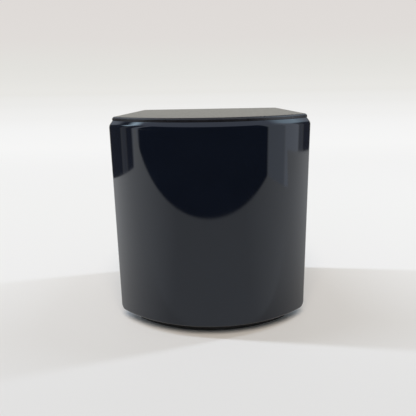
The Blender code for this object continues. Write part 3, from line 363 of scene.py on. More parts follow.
def new_node(tree, kind, values=None, **settings):
    """Results of a new node that has such inputs and settings."""
    made = tree.nodes.new("ShaderNode" + kind)
    for name, value in settings.items():
        setattr(made, name, value)
    feed(tree, made, values or {})
    return made.outputs


def math_node(tree, operation, *values):
    return new_node(tree, "Math", dict(enumerate(values)), operation=operation)["Value"]


def times(tree, first, second):
    return math_node(tree, "MULTIPLY", first, second)


def larger(tree, first, second):
    return math_node(tree, "MAXIMUM", first, second)


def rest_of(tree, share):
    return math_node(tree, "SUBTRACT", 1.0, share)


def azimuth_of(tree, x, y):
    return math_node(tree, "DEGREES", math_node(tree, "ARCTAN2", x, times(tree, y, -1.0)))


def ranged(tree, value, start, end, low=0.0, high=1.0, kind="SMOOTHSTEP"):
    """Carries a value from one range to another, and holds it at the ends."""
    values = {"Value": value, "From Min": start, "From Max": end, "To Min": low, "To Max": high}
    return new_node(tree, "MapRange", values, interpolation_type=kind)["Result"]


def rise(tree, value, edge, soft):
    """0 below an edge and 1 above it, with a soft step."""
    return ranged(tree, value, edge - soft / 2, edge + soft / 2)


def band(tree, value, limits, soft):
    """1 between two limits, with soft ends."""
    start, end = (rise(tree, value, limit, soft) for limit in limits)
    return math_node(tree, "SUBTRACT", start, end)


def mixed(tree, share, first, second):
    """Mixes two colours, each three numbers or a node's result."""
    values = {"Factor": share, MIX_FIRST: first, MIX_SECOND: second}
    return new_node(tree, "Mix", values, data_type="RGBA")[MIX_RESULT]


def ramp(tree, value, span, stops):
    """Colours at places along a value."""
    made = tree.nodes.new("ShaderNodeValToRGB")
    low, high = span
    points = made.color_ramp.elements
    for i, (place, colour) in enumerate(stops):
        share = (place - low) / (high - low)
        point = points[i] if i < len(points) else points.new(share)
        point.position = share
        point.color = (*colour, 1)
    feed(tree, made, {"Fac": ranged(tree, value, low, high, kind="LINEAR")})
    return made.outputs["Color"]


def make_camera():
    data = bpy.data.cameras.new("camera")
    data.lens = LENS
    data.sensor_width = SENSOR
    data.clip_start, data.clip_end = CLIP
    camera = bpy.data.objects.new("camera", data)
    bpy.context.scene.collection.objects.link(camera)
    heading = Matrix.Rotation(math.radians(CAMERA_HEADING), 4, "Z")
    pitch = Matrix.Rotation(math.radians(90 - CAMERA_PITCH), 4, "X")
    roll = Matrix.Rotation(math.radians(-CAMERA_ROLL), 4, "Z")
    camera.matrix_world = Matrix.Translation(CAMERA_PLACE) @ heading @ pitch @ roll
    bpy.context.scene.camera = camera


def make_world():
    """A room for gloss and glass to show, a plain backdrop for the camera and a dome of light."""
    world = bpy.data.worlds.new("studio")
    bpy.context.scene.world = world
    world.use_nodes = True
    world.cycles.sampling_method = "NONE"
    tree = world.node_tree
    direction = new_node(tree, "TexCoord")["Generated"]
    x, y, z = new_node(tree, "SeparateXYZ", {"Vector": direction})
    azimuth = azimuth_of(tree, x, y)
    height = math_node(tree, "DEGREES", math_node(tree, "ARCSINE", z))
    above = rise(tree, height, BACKDROP_HEIGHT, BACKDROP_SOFT)
    room = mixed(tree, above, BACKDROP_LOW, BACKDROP_HIGH)
    for azimuths, heights, soft, colour in ROOM:
        across = band(tree, azimuth, azimuths, soft)
        upright = band(tree, height, heights, soft)
        room = mixed(tree, times(tree, across, upright), room, colour)
    ray = new_node(tree, "LightPath")
    shown = larger(tree, ray["Is Glossy Ray"], ray["Is Transmission Ray"])
    light = mixed(tree, shown, DOME, room)
    seen = ramp(tree, height, SKY_SPAN, SKY)
    feed(tree, tree.nodes["Background"], {"Color": mixed(tree, ray["Is Camera Ray"], light, seen)})


def add_lamp(name, kind, energy, colour):
    data = bpy.data.lights.new(name, kind)
    data.energy = energy
    data.color = colour
    lamp = bpy.data.objects.new(name, data)
    lamp.visible_glossy = False
    bpy.context.scene.collection.objects.link(lamp)
    return lamp


def make_lamps():
    """A strip on each side, whose shadows have crisp sides and fade along, and broad light in front."""
    for name, (azimuth, heights, distance, width, power) in SIDE_LAMPS.items():
        low, high = (math.radians(height) for height in heights)
        middle = (low + high) / 2
        across = math.radians(azimuth)
        level = math.cos(middle)
        outward = Vector((math.sin(across) * level, -math.cos(across) * level, math.sin(middle)))
        lamp = add_lamp(name, "AREA", power, SIDE_COLOUR)
        lamp.data.shape = "RECTANGLE"
        lamp.data.size = width
        lamp.data.size_y = 2 * distance * math.tan((high - low) / 2)
        lamp.location = LAMP_AIM + outward * distance
        lamp.rotation_euler = outward.to_track_quat("Z", "Y").to_euler()
    front = add_lamp("lamp_front", "SUN", FRONT_STRENGTH, FRONT_COLOUR)
    front.data.angle = math.radians(FRONT_SIZE)
    front.rotation_euler.x = math.radians(90 - FRONT_HEIGHT)


def on_table(tree, x, y):
    """1 where gloss shows the table, 0 where it shows the room."""
    azimuth = azimuth_of(tree, x, y)
    bow = math_node(tree, "MULTIPLY_ADD", x, TABLE_FRONT_BOW, TABLE_FRONT_SLANT)
    front = rise(tree, math_node(tree, "MULTIPLY_ADD", x, bow, y), TABLE_FRONT_Y, TABLE_SOFT)
    slanted = math_node(tree, "MULTIPLY_ADD", y, -TABLE_LEFT_SLOPE, x)
    aside = rise(tree, azimuth, TABLE_LEFT_AZIMUTH, AZIMUTH_SOFT)
    left = larger(tree, rise(tree, slanted, TABLE_LEFT_X, TABLE_SOFT), aside)
    ahead = rest_of(tree, rise(tree, azimuth, TABLE_RIGHT_AZIMUTH, AZIMUTH_SOFT))
    right = times(tree, rise(tree, x, TABLE_RIGHT_X, TABLE_SOFT), ahead)
    beyond = larger(tree, right, rise(tree, x, TABLE_END_X, TABLE_SOFT))
    return times(tree, times(tree, front, left), rest_of(tree, beyond))


def mirrored_gain(tree, x, y):
    """How much brighter gloss shows the table towards the left and the right."""
    azimuth = azimuth_of(tree, x, y)
    start, end = MIRRORED_AZIMUTHS
    gain_left, gain_right = MIRRORED_GAINS
    left = ranged(tree, azimuth, -start, -end, 1.0, gain_left, "LINEAR")
    right = ranged(tree, azimuth, start, end, 1.0, gain_right, "LINEAR")
    return larger(tree, left, right)


def scaled(tree, colour, factor):
    return new_node(tree, "VectorMath", {"Vector": colour, "Scale": factor}, operation="SCALE")["Vector"]


def mixed_shader(tree, share, first, second):
    return new_node(tree, "MixShader", {"Fac": share, 1: first, 2: second})["Shader"]


def floor_material():
    """Pale paper with painted shade, darker towards the front, and plain far off. Gloss shows the dark
    room beyond the table's edges.
    """
    made = bpy.data.materials.new("floor_paper")
    made.use_nodes = True
    tree = made.node_tree
    tree.nodes.remove(tree.nodes["Principled BSDF"])
    place = new_node(tree, "NewGeometry")["Position"]
    x, y, _ = new_node(tree, "SeparateXYZ", {"Vector": place})
    ray = new_node(tree, "LightPath")
    mirrored_ray = ray["Is Glossy Ray"]
    gain = math_node(tree, "SUBTRACT", mirrored_gain(tree, x, y), 1.0)
    gain = math_node(tree, "MULTIPLY_ADD", gain, mirrored_ray, 1.0)
    # Painted shade: the floor's colour is darker towards the front, and gloss sees it brighter towards the
    # sides
    colour = scaled(tree, ramp(tree, y, FLOOR_SPAN, FLOOR_PAINTED_SHADE), gain)
    paper = new_node(tree, "BsdfDiffuse", {"Color": colour})["BSDF"]
    plain = new_node(tree, "Emission", {"Color": colour})["Emission"]
    gone = new_node(tree, "BsdfTransparent")["BSDF"]
    reach = math_node(tree, "MULTIPLY_ADD", x, x, times(tree, y, y))
    far = ranged(tree, math_node(tree, "SQRT", reach), *PLAIN_FLOOR)
    shown = larger(tree, ray["Is Camera Ray"], mirrored_ray)
    shown = times(tree, far, larger(tree, shown, ray["Is Transmission Ray"]))
    floor = mixed_shader(tree, shown, paper, plain)
    hidden = times(tree, mirrored_ray, rest_of(tree, on_table(tree, x, y)))
    floor = mixed_shader(tree, hidden, floor, gone)
    feed(tree, tree.nodes["Material Output"], {"Surface": floor})
    return made


def make_floor():
    mesh = bpy.data.meshes.new("floor")
    corners = [(-1, -1), (1, -1), (1, 1), (-1, 1)]
    mesh.from_pydata([(x * FLOOR_HALF, y * FLOOR_HALF, 0) for x, y in corners], [], [(0, 1, 2, 3)])
    mesh.materials.append(floor_material())
    floor = bpy.data.objects.new("floor", mesh)
    bpy.context.scene.collection.objects.link(floor)


def shader_of(made):
    return made.node_tree.nodes["Principled BSDF"]


def set_shader(made, values):
    feed(made.node_tree, shader_of(made), values)


def new_surface(name, colour, roughness, metallic=0.0, ior=1.5):
    made = bpy.data.materials.new(name)
    made.use_nodes = True
    set_shader(made, {"Base Color": colour, "Roughness": roughness, "Metallic": metallic, "IOR": ior})
    return made


def on_piece(made, setting, value):
    """Places on a piece, shifted or stretched."""
    place = new_node(made.node_tree, "TexCoord")["Object"]
    return new_node(made.node_tree, "Mapping", {"Vector": place, setting: value})["Vector"]


def noise(made, scale, detail=3.0, stretch=(1, 1, 1)):
    """Noise over a piece, with so many features to the metre."""
    values = {"Vector": on_piece(made, "Scale", stretch), "Scale": scale, "Detail": detail}
    return new_node(made.node_tree, "TexNoise", values)["Fac"]


def turned_lines(made, centre, axis, pitch):
    """Fine rings round an axis, as a lathe leaves them."""
    values = {
        "Vector": on_piece(made, "Location", [-value for value in centre]),
        "Scale": 2 * math.pi / (WAVE_RATE * pitch),
        "Distortion": LATHE_DISTORTION,
        "Detail": LATHE_DETAIL,
    }
    return new_node(made.node_tree, "TexWave", values, wave_type="RINGS", rings_direction=axis)["Fac"]


def vary_roughness(made, low, high, *grain):
    value = ranged(made.node_tree, noise(made, *grain), *NOISE_SPAN, low, high)
    set_shader(made, {"Roughness": value})


def vary_colour(made, first, second, *grain):
    tree = made.node_tree
    share = ranged(tree, noise(made, *grain), *NOISE_SPAN)
    set_shader(made, {"Base Color": mixed(tree, share, first, second)})


def add_bump(made, value, depth):
    """Relief of so many metres, on top of any that is there."""
    values = {"Height": value, "Distance": depth}
    before = shader_of(made).inputs["Normal"].links
    if before:
        values["Normal"] = before[0].from_socket
    set_shader(made, {"Normal": new_node(made.node_tree, "Bump", values)["Normal"]})


def add_grain(made, depth, *grain):
    add_bump(made, noise(made, *grain), depth)


def wear_edges(made, radius, colour, share):
    """Rubs edges to another colour, where a rounded normal leaves the true one."""
    tree = made.node_tree
    rounded = new_node(tree, "Bevel", {"Radius": radius})["Normal"]
    true = new_node(tree, "NewGeometry")["Normal"]
    dot = new_node(tree, "VectorMath", {0: rounded, 1: true}, operation="DOT_PRODUCT")["Value"]
    edge = ranged(tree, dot, *WORN_COSINES, 0.0, share)
    patchy = ranged(tree, noise(made, WORN_SCALE), *WORN_SPAN)
    before = shader_of(made).inputs["Base Color"].links[0].from_socket
    set_shader(made, {"Base Color": mixed(tree, times(tree, edge, patchy), before, colour)})


def window_gloss():
    """Polished black sheet, with faint wipe marks."""
    made = new_surface("window_gloss", (0.0040, 0.0062, 0.0125), 0.04, ior=1.48)
    set_shader(made, {"Specular Tint": (0.92, 0.96, 1.0)})
    vary_colour(made, (0.0037, 0.0058, 0.0117), (0.0043, 0.0066, 0.0133), 60)
    vary_roughness(made, 0.030, 0.055, 90, 4.0, (0.5, 0.5, 1.6))
    add_grain(made, 0.0000012, 55, 1.0)
    return made


def housing_satin():
    """Black moulding with a fine spark-eroded grain."""
    made = new_surface("housing_satin", (0.010, 0.010, 0.012), 0.32)
    vary_colour(made, (0.008, 0.008, 0.010), (0.012, 0.012, 0.0145), 300)
    vary_roughness(made, 0.26, 0.36, 1500)
    add_grain(made, 0.0000035, 9000, 2.0)
    wear_edges(made, 0.0003, (0.035, 0.035, 0.038), 0.35)
    return made


def button_plastic():
    made = new_surface("button_plastic", (0.016, 0.016, 0.018), 0.42)
    vary_colour(made, (0.013, 0.013, 0.015), (0.020, 0.020, 0.022), 700)
    vary_roughness(made, 0.34, 0.50, 2500)
    add_grain(made, 0.000006, 6000, 2.0)
    return made


def seal_rubber():
    made = new_surface("seal_rubber", (0.008, 0.008, 0.008), 0.7)
    vary_colour(made, (0.006, 0.006, 0.006), (0.011, 0.011, 0.011), 1200)
    vary_roughness(made, 0.6, 0.8, 2600)
    add_grain(made, 0.000008, 5000)
    return made


def foot_rubber():
    made = new_surface("foot_rubber", (0.009, 0.009, 0.010), 0.65)
    vary_colour(made, (0.007, 0.007, 0.008), (0.013, 0.013, 0.014), 500)
    vary_roughness(made, 0.55, 0.78, 1800)
    add_grain(made, 0.000014, 3500, 4.0)
    return made


def anodised_black():
    """Dyed aluminium with turned lines round the button's axis, rubbed bright on its edges."""
    made = new_surface("anodised_black", (0.020, 0.020, 0.023), 0.38, metallic=0.6)
    vary_colour(made, (0.016, 0.016, 0.018), (0.026, 0.026, 0.029), 800)
    vary_roughness(made, 0.32, 0.46, 2200)
    add_bump(made, turned_lines(made, (0, 0, BUTTON_Z), "Y", 0.00012), 0.0000025)
    add_grain(made, 0.000003, 7000, 2.0)
    wear_edges(made, 0.0002, (0.30, 0.30, 0.31), 0.30)
    return made


def plain_aluminium():
    made = new_surface("plain_aluminium", (0.62, 0.62, 0.63), 0.34, metallic=1.0)
    vary_colour(made, (0.57, 0.57, 0.58), (0.67, 0.67, 0.68), 500)
    vary_roughness(made, 0.26, 0.42, 1400, 3.0, (1, 1, 12))
    add_grain(made, 0.000003, 3000, 2.0, (1, 1, 10))
    return made


def socket_steel():
    """Turned sleeve, with rings round its axis."""
    made = new_surface("socket_steel", (0.55, 0.55, 0.56), 0.26, metallic=1.0)
    vary_colour(made, (0.50, 0.50, 0.51), (0.60, 0.60, 0.61), 600)
    vary_roughness(made, 0.20, 0.34, 1500)
    add_bump(made, turned_lines(made, (0, AXIS_Y, 0), "Z", 0.00015), 0.000004)
    return made


def latch_steel():
    made = new_surface("latch_steel", (0.50, 0.50, 0.52), 0.28, metallic=1.0)
    vary_colour(made, (0.45, 0.45, 0.47), (0.55, 0.55, 0.57), 700)
    vary_roughness(made, 0.20, 0.38, 2000, 3.0, (1, 14, 1))
    add_grain(made, 0.000003, 2600, 2.0, (1, 14, 1))
    return made


def screw_steel():
    """Blackened steel, rubbed bright on its edges."""
    made = new_surface("screw_steel", (0.10, 0.10, 0.105), 0.36, metallic=1.0)
    vary_colour(made, (0.08, 0.08, 0.085), (0.13, 0.13, 0.135), 1500)
    vary_roughness(made, 0.28, 0.46, 3000)
    add_grain(made, 0.000004, 9000, 2.0)
    wear_edges(made, 0.00012, (0.45, 0.45, 0.46), 0.5)
    return made


def insert_brass():
    made = new_surface("insert_brass", (0.60, 0.42, 0.16), 0.3, metallic=1.0)
    vary_colour(made, (0.54, 0.36, 0.13), (0.66, 0.47, 0.19), 1500)
    vary_roughness(made, 0.24, 0.40, 3000)
    add_grain(made, 0.000004, 8000, 2.0)
    return made


def prism_glass():
    made = new_surface("prism_glass", (0.96, 0.985, 0.975), 0.0, ior=1.517)
    set_shader(made, {"Transmission Weight": 1.0})
    vary_roughness(made, 0.0, 0.012, 120)
    vary_colour(made, (0.955, 0.985, 0.972), (0.968, 0.988, 0.980), 40)
    return made


def make_surfaces():
    makers = (window_gloss, housing_satin, button_plastic, seal_rubber, foot_rubber, anodised_black)
    makers += (plain_aluminium, socket_steel, latch_steel, screw_steel, insert_brass, prism_glass)
    return {maker.__name__: maker() for maker in makers}


def new_object(name, bm):
    bmesh.ops.recalc_face_normals(bm, faces=bm.faces[:])
    mesh = bpy.data.meshes.new(name)
    bm.to_mesh(mesh)
    bm.free()
    made = bpy.data.objects.new(name, mesh)
    bpy.context.scene.collection.objects.link(made)
    return made


def combine(target, tool, operation="DIFFERENCE"):
    """Cuts a piece with a tool, or joins the tool to it, and clears the tool away."""
    modifier = target.modifiers.new("combine", "BOOLEAN")
    modifier.operation = operation
    modifier.object = tool
    modifier.solver = "EXACT"
    view = bpy.context.evaluated_depsgraph_get()
    result = bpy.data.meshes.new_from_object(target.evaluated_get(view))
    target.modifiers.remove(modifier)
    target.data = result
    bpy.data.objects.remove(tool)


def stand_for(made, node):
    """Gives a finished piece its shading and finish, and puts it in a node's place."""
    made.data.shade_smooth()
    made.data.set_sharp_from_angle(angle=math.radians(SHARP_ANGLE))
    normals = made.modifiers.new("normals", "WEIGHTED_NORMAL")
    normals.keep_sharp = True
    slot = SLOT_OF[node]
    made.data.materials.clear()
    made.data.materials.append(SURFACES[slot])
    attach(made, NODES[node]["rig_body"])
    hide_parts(node)
    return made


def add_levels(bm, levels):
    """Skins a stack of loops of equal length, and caps its ends."""
    rows = [[bm.verts.new(point) for point in points] for points in levels]
    count = len(rows[0])
    for lower, upper in zip(rows, rows[1:]):
        for i in range(count):
            j = (i + 1) % count
            bm.faces.new((lower[i], lower[j], upper[j], upper[i]))
    bm.faces.new(reversed(rows[0]))
    bm.faces.new(rows[-1])


def levels_object(name, levels):
    bm = bmesh.new()
    add_levels(bm, levels)
    return new_object(name, bm)


def ring_radius(radius, shape, i, sides):
    """Radius of one point on a turned ring, which may be toothed or a hexagon across flats."""
    if shape == "hex":
        turn = math.pi / 3
        return radius / math.cos((2 * math.pi * i / sides + turn / 2) % turn - turn / 2)
    return radius - shape * (i % 2)


def add_turned(bm, profile, sides, place):
    """Turns (radius, height, shape) round Z. It starts and ends on the axis, or closes as a ring."""
    rings = []
    for radius, height, *shape in profile:
        if radius == 0:
            rings.append([bm.verts.new(place @ Vector((0, 0, height)))])
            continue
        ring = []
        for i in range(sides):
            angle = 2 * math.pi * i / sides
            reach = ring_radius(radius, shape[0] if shape else 0, i, sides)
            point = Vector((reach * math.cos(angle), reach * math.sin(angle), height))
            ring.append(bm.verts.new(place @ point))
        rings.append(ring)
    pairs = list(zip(rings, rings[1:]))
    if len(rings[0]) > 1:
        pairs.append((rings[-1], rings[0]))
    for first, second in pairs:
        for i in range(sides):
            j = (i + 1) % sides
            low = [first[i % len(first)], first[j % len(first)]]
            high = [second[j % len(second)], second[i % len(second)]]
            bm.faces.new(dict.fromkeys(low + high))


def turned(name, profile, sides, places):
    """A turned piece, or one tool with a copy at each place."""
    bm = bmesh.new()
    for place in places:
        add_turned(bm, profile, sides, place)
    return new_object(name, bm)


def drill(target, profile, sides, places):
    """Cuts a turned hole at each place."""
    combine(target, turned("drill", profile, sides, places))


def blocks(name, corners):
    """One piece or tool of blocks that don't touch."""
    bm = bmesh.new()
    for (x0, y0, z0), (x1, y1, z1) in corners:
        plan = ((x0, y0), (x1, y0), (x1, y1), (x0, y1))
        add_levels(bm, [[(x, y, z) for x, y in plan] for z in (z0, z1)])
    return new_object(name, bm)


def cylinder(radius, low, high):
    return [(0, low), (radius, low), (radius, high), (0, high)]


def side_x(y, inset):
    """Half the body's width at a depth, less an inset."""
    return HALF_WIDTH - (inset + (y - CORNER_Y) * SIDE_NORMAL.y) / SIDE_NORMAL.x


def arc(centre, radius, start, end, steps, first=0):
    """Points on an arc, with or without its start."""
    points = []
    for i in range(first, steps + 1):
        angle = start + (end - start) * i / steps
        points.append((centre.x + radius * math.cos(angle), centre.y + radius * math.sin(angle)))
    return points


def front_half(front, side, radius):
    """Right half of the bowed front, from beside its middle to the end of the rounded corner."""
    base = SIDE_START - SIDE_NORMAL * (side + radius) - ARC_CENTRE
    reach = FRONT_RADIUS - front - radius
    along = base.dot(SIDE_LINE)
    step = -along - math.sqrt(along**2 - base.length_squared + reach**2)
    offset = base + SIDE_LINE * step
    turn = math.atan2(offset.y, offset.x)
    bow = arc(ARC_CENTRE, FRONT_RADIUS - front, -math.pi / 2, turn, ARC_STEPS, 1)
    return bow + arc(ARC_CENTRE + offset, radius, turn, SIDE_ANGLE, CORNER_STEPS, 1)


def side_end(end_y, side, radius, steps):
    """Rounded corner on the right, from the side to a face across the body behind it."""
    y = end_y - radius
    return arc(Vector((side_x(y, side + radius), y)), radius, SIDE_ANGLE, math.pi / 2, steps)


def side_begin(start_y, side, radius, steps):
    """Rounded corner on the right, from a face across the body to the side behind it."""
    y = start_y + radius
    return arc(Vector((side_x(y, side + radius), y)), radius, -math.pi / 2, SIDE_ANGLE, steps)


def mirrored(points):
    return [(-x, y) for x, y in reversed(points)]


def outline(front, side, corner, rear):
    """A plan drawn in from the body's front, and from its sides and back, with corners so round."""
    half = front_half(front, side, corner) + side_end(BACK_Y - side, side, rear, CORNER_STEPS)
    return [(0, FRONT_Y + front)] + half + mirrored(half)


def body_outline(inset):
    """The body's plan, drawn in all round."""
    corner, rear = (max(radius - inset, LEAST_RADIUS) for radius in (CORNER_RADIUS, REAR_RADIUS))
    return outline(inset, inset, corner, rear)


def at_height(points, z):
    return [(x, y, z) for x, y in points]


def swept(name, profile, plan=body_outline):
    """A section of (inset, height) carried round a plan, capped above and below."""
    return levels_object(name, [at_height(plan(inset), z) for inset, z in profile])


def quarter(radius, steps):
    """Points of a quarter round, by how far they lie from the two sides of its corner."""
    turns = [math.pi / 2 * i / steps for i in range(steps + 1)]
    return [(radius * (1 - math.sin(turn)), radius * (1 - math.cos(turn))) for turn in turns]


def rounding(radius, height):
    """How far a rounded rim draws in at a height above its edge."""
    if height >= radius:
        return 0.0
    return radius - math.sqrt(radius**2 - (radius - height) ** 2)


def eased(before, corner, after, reach):
    """Curve that takes the place of a section's corner, so far to each side of it."""
    first = corner + (before - corner).normalized() * reach
    last = corner + (after - corner).normalized() * reach
    points = []
    for i in range(EDGE_STEPS + 1):
        share = i / EDGE_STEPS
        points.append(first.lerp(corner, share).lerp(corner.lerp(last, share), share))
    return points


def top_bevel():
    """Insets and heights up the bevel at the top of a wall."""
    wall = Vector((0, SHELL_BOTTOM))
    foot = Vector((0, SHELL_TOP - TOP_BEVEL_HEIGHT))
    edge = Vector((TOP_BEVEL, SHELL_TOP))
    land = Vector((WALL, SHELL_TOP))
    return eased(wall, foot, edge, BEVEL_FOOT) + eased(foot, edge, land, BEVEL_EDGE)


def shell_section():
    """Insets of front and sides at each height, up the outside and down the inside of a wall."""
    section = []
    heights = {height for rim in (FRONT_RIM, SIDE_RIM) for _, height in quarter(rim, RIM_STEPS)}
    for height in sorted(heights):
        section.append((rounding(FRONT_RIM, height), rounding(SIDE_RIM, height), SHELL_BOTTOM + height))
    section += [(inset, inset, z) for inset, z in top_bevel()]
    return section + [(WALL, WALL, SHELL_TOP), (WALL, WALL, SHELL_BOTTOM)]


def shell_object(name, path):
    """A wall of the shell's section along an open path."""
    rows = [at_height(path(front, side), z) for front, side, z in shell_section()]
    return levels_object(name, list(zip(*rows)))


def front_window():
    """Bowed window with a short return on each side."""

    def path(front, side):
        radius = max(CORNER_RADIUS - max(0, side - SIDE_RIM), LEAST_RADIUS)
        half = front_half(front, side, radius)
        half += side_end(WINDOW_END_Y, side, min(JOINT_EDGE, radius), EDGE_STEPS)
        return mirrored(half) + [(0, FRONT_Y + front)] + half

    stand_for(shell_object("window_panel", path), "front_window")


def box_middle(node):
    low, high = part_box(node)
    return (low + high) / 2


def upright_axes(nodes):
    """Places on the floor below the middles of nodes."""
    return [Matrix.Translation((*box_middle(node).xy, 0)) for node in nodes]


def housing_lugs():
    """Blocks on the side walls: low ones for the inserts, high ones for the cap's screws."""
    corners = []
    for node in LUG_SCREWS:
        place = box_middle(node)
        y0 = place.y - LUG_WIDTH / 2
        y1 = place.y + LUG_WIDTH / 2
        inner = abs(place.x) - LUG_EDGE
        outer = side_x(place.y, WALL / 2)
        x0, x1 = sorted((math.copysign(inner, place.x), math.copysign(outer, place.x)))
        for z0, z1 in ((INSERT_LOW.z, INSERT_HIGH.z + LUG_ROOF), (TOP_LUG_BOTTOM, TOP_LUG_TOP)):
            corners.append(((x0, y0, z0), (x1, y1, z1)))
    return blocks("housing_lugs", corners)


def housing_tongues():
    """Strips inside the wall that reach forward behind the window's returns."""
    bottom = BASE_TOP + 2 * FIT
    top = RIM_UNDER - SPIGOT_HEIGHT - FIT
    root_y = HOUSING_FRONT_Y + TONGUE_ROOT
    tip_y = WINDOW_END_Y - TONGUE_LENGTH
    inside = INNER + TONGUE_THICKNESS
    corners = (
        (tip_y, inside),
        (tip_y, INNER),
        (HOUSING_FRONT_Y, INNER),
        (HOUSING_FRONT_Y + OVERLAP, WALL / 2),
        (root_y, WALL / 2),
        (root_y, inside),
    )
    bm = bmesh.new()
    for side in (1, -1):
        plan = [(side * side_x(y, inset), y) for y, inset in corners]
        add_levels(bm, [at_height(plan, bottom), at_height(plan, top)])
    return new_object("housing_tongues", bm)


def rear_housing():
    """Sides and back of the hood, with tongues behind the window and lugs for the screws."""

    def path(front, side):
        half = side_begin(HOUSING_FRONT_Y, side, JOINT_EDGE, EDGE_STEPS)
        half += side_end(BACK_Y - side, side, max(REAR_RADIUS - side, LEAST_RADIUS), CORNER_STEPS)
        return half + mirrored(half)

    housing = shell_object("housing_shell", path)
    combine(housing, housing_tongues(), "UNION")
    combine(housing, housing_lugs(), "UNION")
    pocket_radius = (INSERT_HIGH.x - INSERT_LOW.x) / 2 + FIT
    pockets = cylinder(pocket_radius, INSERT_LOW.z - OVERLAP, INSERT_HIGH.z + FIT)
    shanks = cylinder(HOLE_RADIUS, CAP_SCREW_SEAT - OVERLAP, CAP_SCREW_SEAT + TOP_LUG_HEIGHT + 2 * OVERLAP)
    places = upright_axes(LUG_SCREWS)
    drill(housing, pockets, SMALL_SIDES, places)
    drill(housing, shanks, SMALL_SIDES, places)
    hole = cylinder(BEZEL_RADIUS + FIT, INNER_BACK_Y - OVERLAP, BACK_Y + OVERLAP)
    drill(housing, hole, LARGE_SIDES, [BUTTON_AXIS])
    stand_for(housing, "rear_housing")


def window_seals():
    """Rubber bead in the joint on each side, between window and housing."""
    y0 = SEAL_LOW.y
    y1 = SEAL_HIGH.y
    half = (y1 - y0) / 2
    section = [(y1, WALL - FIT), (y0, WALL - FIT)]
    for i in range(CORNER_STEPS + 1):
        angle = math.pi * i / CORNER_STEPS
        bead = STRIP_BEAD * (1 - math.sin(angle))
        section.append(((y0 + y1) / 2 - half * math.cos(angle), STRIP_SINK + bead))
    levels = [(STRIP_BEAD, SEAL_LOW.z), (0, SEAL_LOW.z + STRIP_BEAD), *top_bevel()]
    for name, side in (("right", 1), ("left", -1)):
        loops = []
        for draw, z in levels:
            plan = [(side * side_x(y, min(inset + draw, WALL - FIT)), y) for y, inset in section]
            loops.append(at_height(plan, z))
        stand_for(levels_object("window_bead_" + name, loops), "window_seal_" + name)


def gasket_groove(top):
    """Section of a seal's groove, from its lower edge up, in a wall that ends at a height."""
    high = top - GASKET_EDGE
    low = high - GASKET_HEIGHT - 2 * SEAL_FIT
    deep = INNER + GASKET_DEPTH
    return [(INNER, low), (deep, low), (deep, high), (INNER, high)]


def top_cap():
    """Cap with a rounded edge, a spigot inside the hood's walls and four bosses."""
    section = [(CAP_INSET + inset, CAP_TOP - drop) for inset, drop in quarter(CAP_ROUND, RIM_STEPS)]
    rim_bottom = SHELL_TOP + CAP_SEAM
    spigot_bottom = RIM_UNDER - SPIGOT_HEIGHT
    section += [
        (CAP_INSET, rim_bottom),
        (INNER, rim_bottom),
        *reversed(gasket_groove(RIM_UNDER)),
        (INNER, spigot_bottom),
        (INNER + SPIGOT_WALL, spigot_bottom),
        (INNER + SPIGOT_WALL, CAP_UNDER),
    ]
    cap = swept("cap_shell", section)
    bosses = cylinder(BOSS_RADIUS, TOP_LUG_TOP + FIT, CAP_UNDER + OVERLAP)
    holes = cylinder(HOLE_RADIUS, TOP_LUG_TOP + FIT - OVERLAP, CAP_UNDER + BOSS_BLIND)
    places = upright_axes(LUG_SCREWS)
    combine(cap, turned("cap_bosses", bosses, SMALL_SIDES, places), "UNION")
    drill(cap, holes, SMALL_SIDES, places)
    stand_for(cap, "top_cap")


def foot_outline(inset):
    """The foot's plan, drawn in all round."""
    return outline(FOOT_FRONT_INSET + inset, FOOT_SIDE_INSET + inset, FOOT_CORNER, FOOT_CORNER)


def foot_pad():
    """Rubber foot with a groove round its sole, open round the socket and scalloped at the screws."""
    groove_end = TREAD_INSET + TREAD_WIDTH
    section = [
        (groove_end, 0),
        (groove_end - TREAD_SLOPE, TREAD_DEPTH),
        (TREAD_INSET + TREAD_SLOPE, TREAD_DEPTH),
        (TREAD_INSET, 0),
        *quarter(FOOT_BEVEL, EDGE_STEPS),
        (0, FOOT_HEIGHT),
    ]
    pad = swept("foot_sole", section, foot_outline)
    opening = cylinder(FLANGE_RADIUS + FIT, -OVERLAP, FOOT_HEIGHT + OVERLAP)
    drill(pad, opening, LARGE_SIDES, [SOCKET_AXIS])
    scallop = cylinder(HEAD_RADIUS + FOOT_SCALLOP, -OVERLAP, FOOT_HEIGHT + OVERLAP)
    drill(pad, scallop, SMALL_SIDES, upright_axes(LUG_SCREWS))
    stand_for(pad, "foot_pad")


def screw_hole(recess_low, recess_high, hole_high):
    """A recess for the head below, and a hole for the shank above it."""
    return [
        (0, recess_low),
        (RECESS_RADIUS, recess_low),
        (RECESS_RADIUS, recess_high),
        (HOLE_RADIUS, recess_high),
        (HOLE_RADIUS, hole_high),
        (0, hole_high),
    ]


def base_plate():
    """Chassis plate inside the hood's walls, with an edge groove for its seal."""
    section = [
        (INNER + JOINT_EDGE, SHELL_BOTTOM),
        (INNER, SHELL_BOTTOM + JOINT_EDGE),
        *gasket_groove(BASE_TOP),
        (INNER, BASE_TOP),
    ]
    plate = swept("chassis_plate", section)
    below = SHELL_BOTTOM - OVERLAP
    above = BASE_TOP + OVERLAP
    seat = SOCKET_LOW.z + SOCKET_FLANGE + FIT
    centre = [
        (0, below),
        (FLANGE_RADIUS + FIT, below),
        (FLANGE_RADIUS + FIT, seat),
        (SOCKET_RADIUS + FIT, seat),
        (SOCKET_RADIUS + FIT, above),
        (0, above),
    ]
    drill(plate, centre, LARGE_SIDES, [SOCKET_AXIS])
    recessed = screw_hole(below, SHELL_BOTTOM + RECESS_DEPTH, above)
    places = upright_axes(LUG_SCREWS + CHASSIS_SCREWS)
    drill(plate, recessed, SMALL_SIDES, places)
    plain = cylinder(HOLE_RADIUS, seat - OVERLAP, above)
    drill(plate, plain, SMALL_SIDES, upright_axes(SOCKET_SCREWS))
    stand_for(plate, "base_plate")


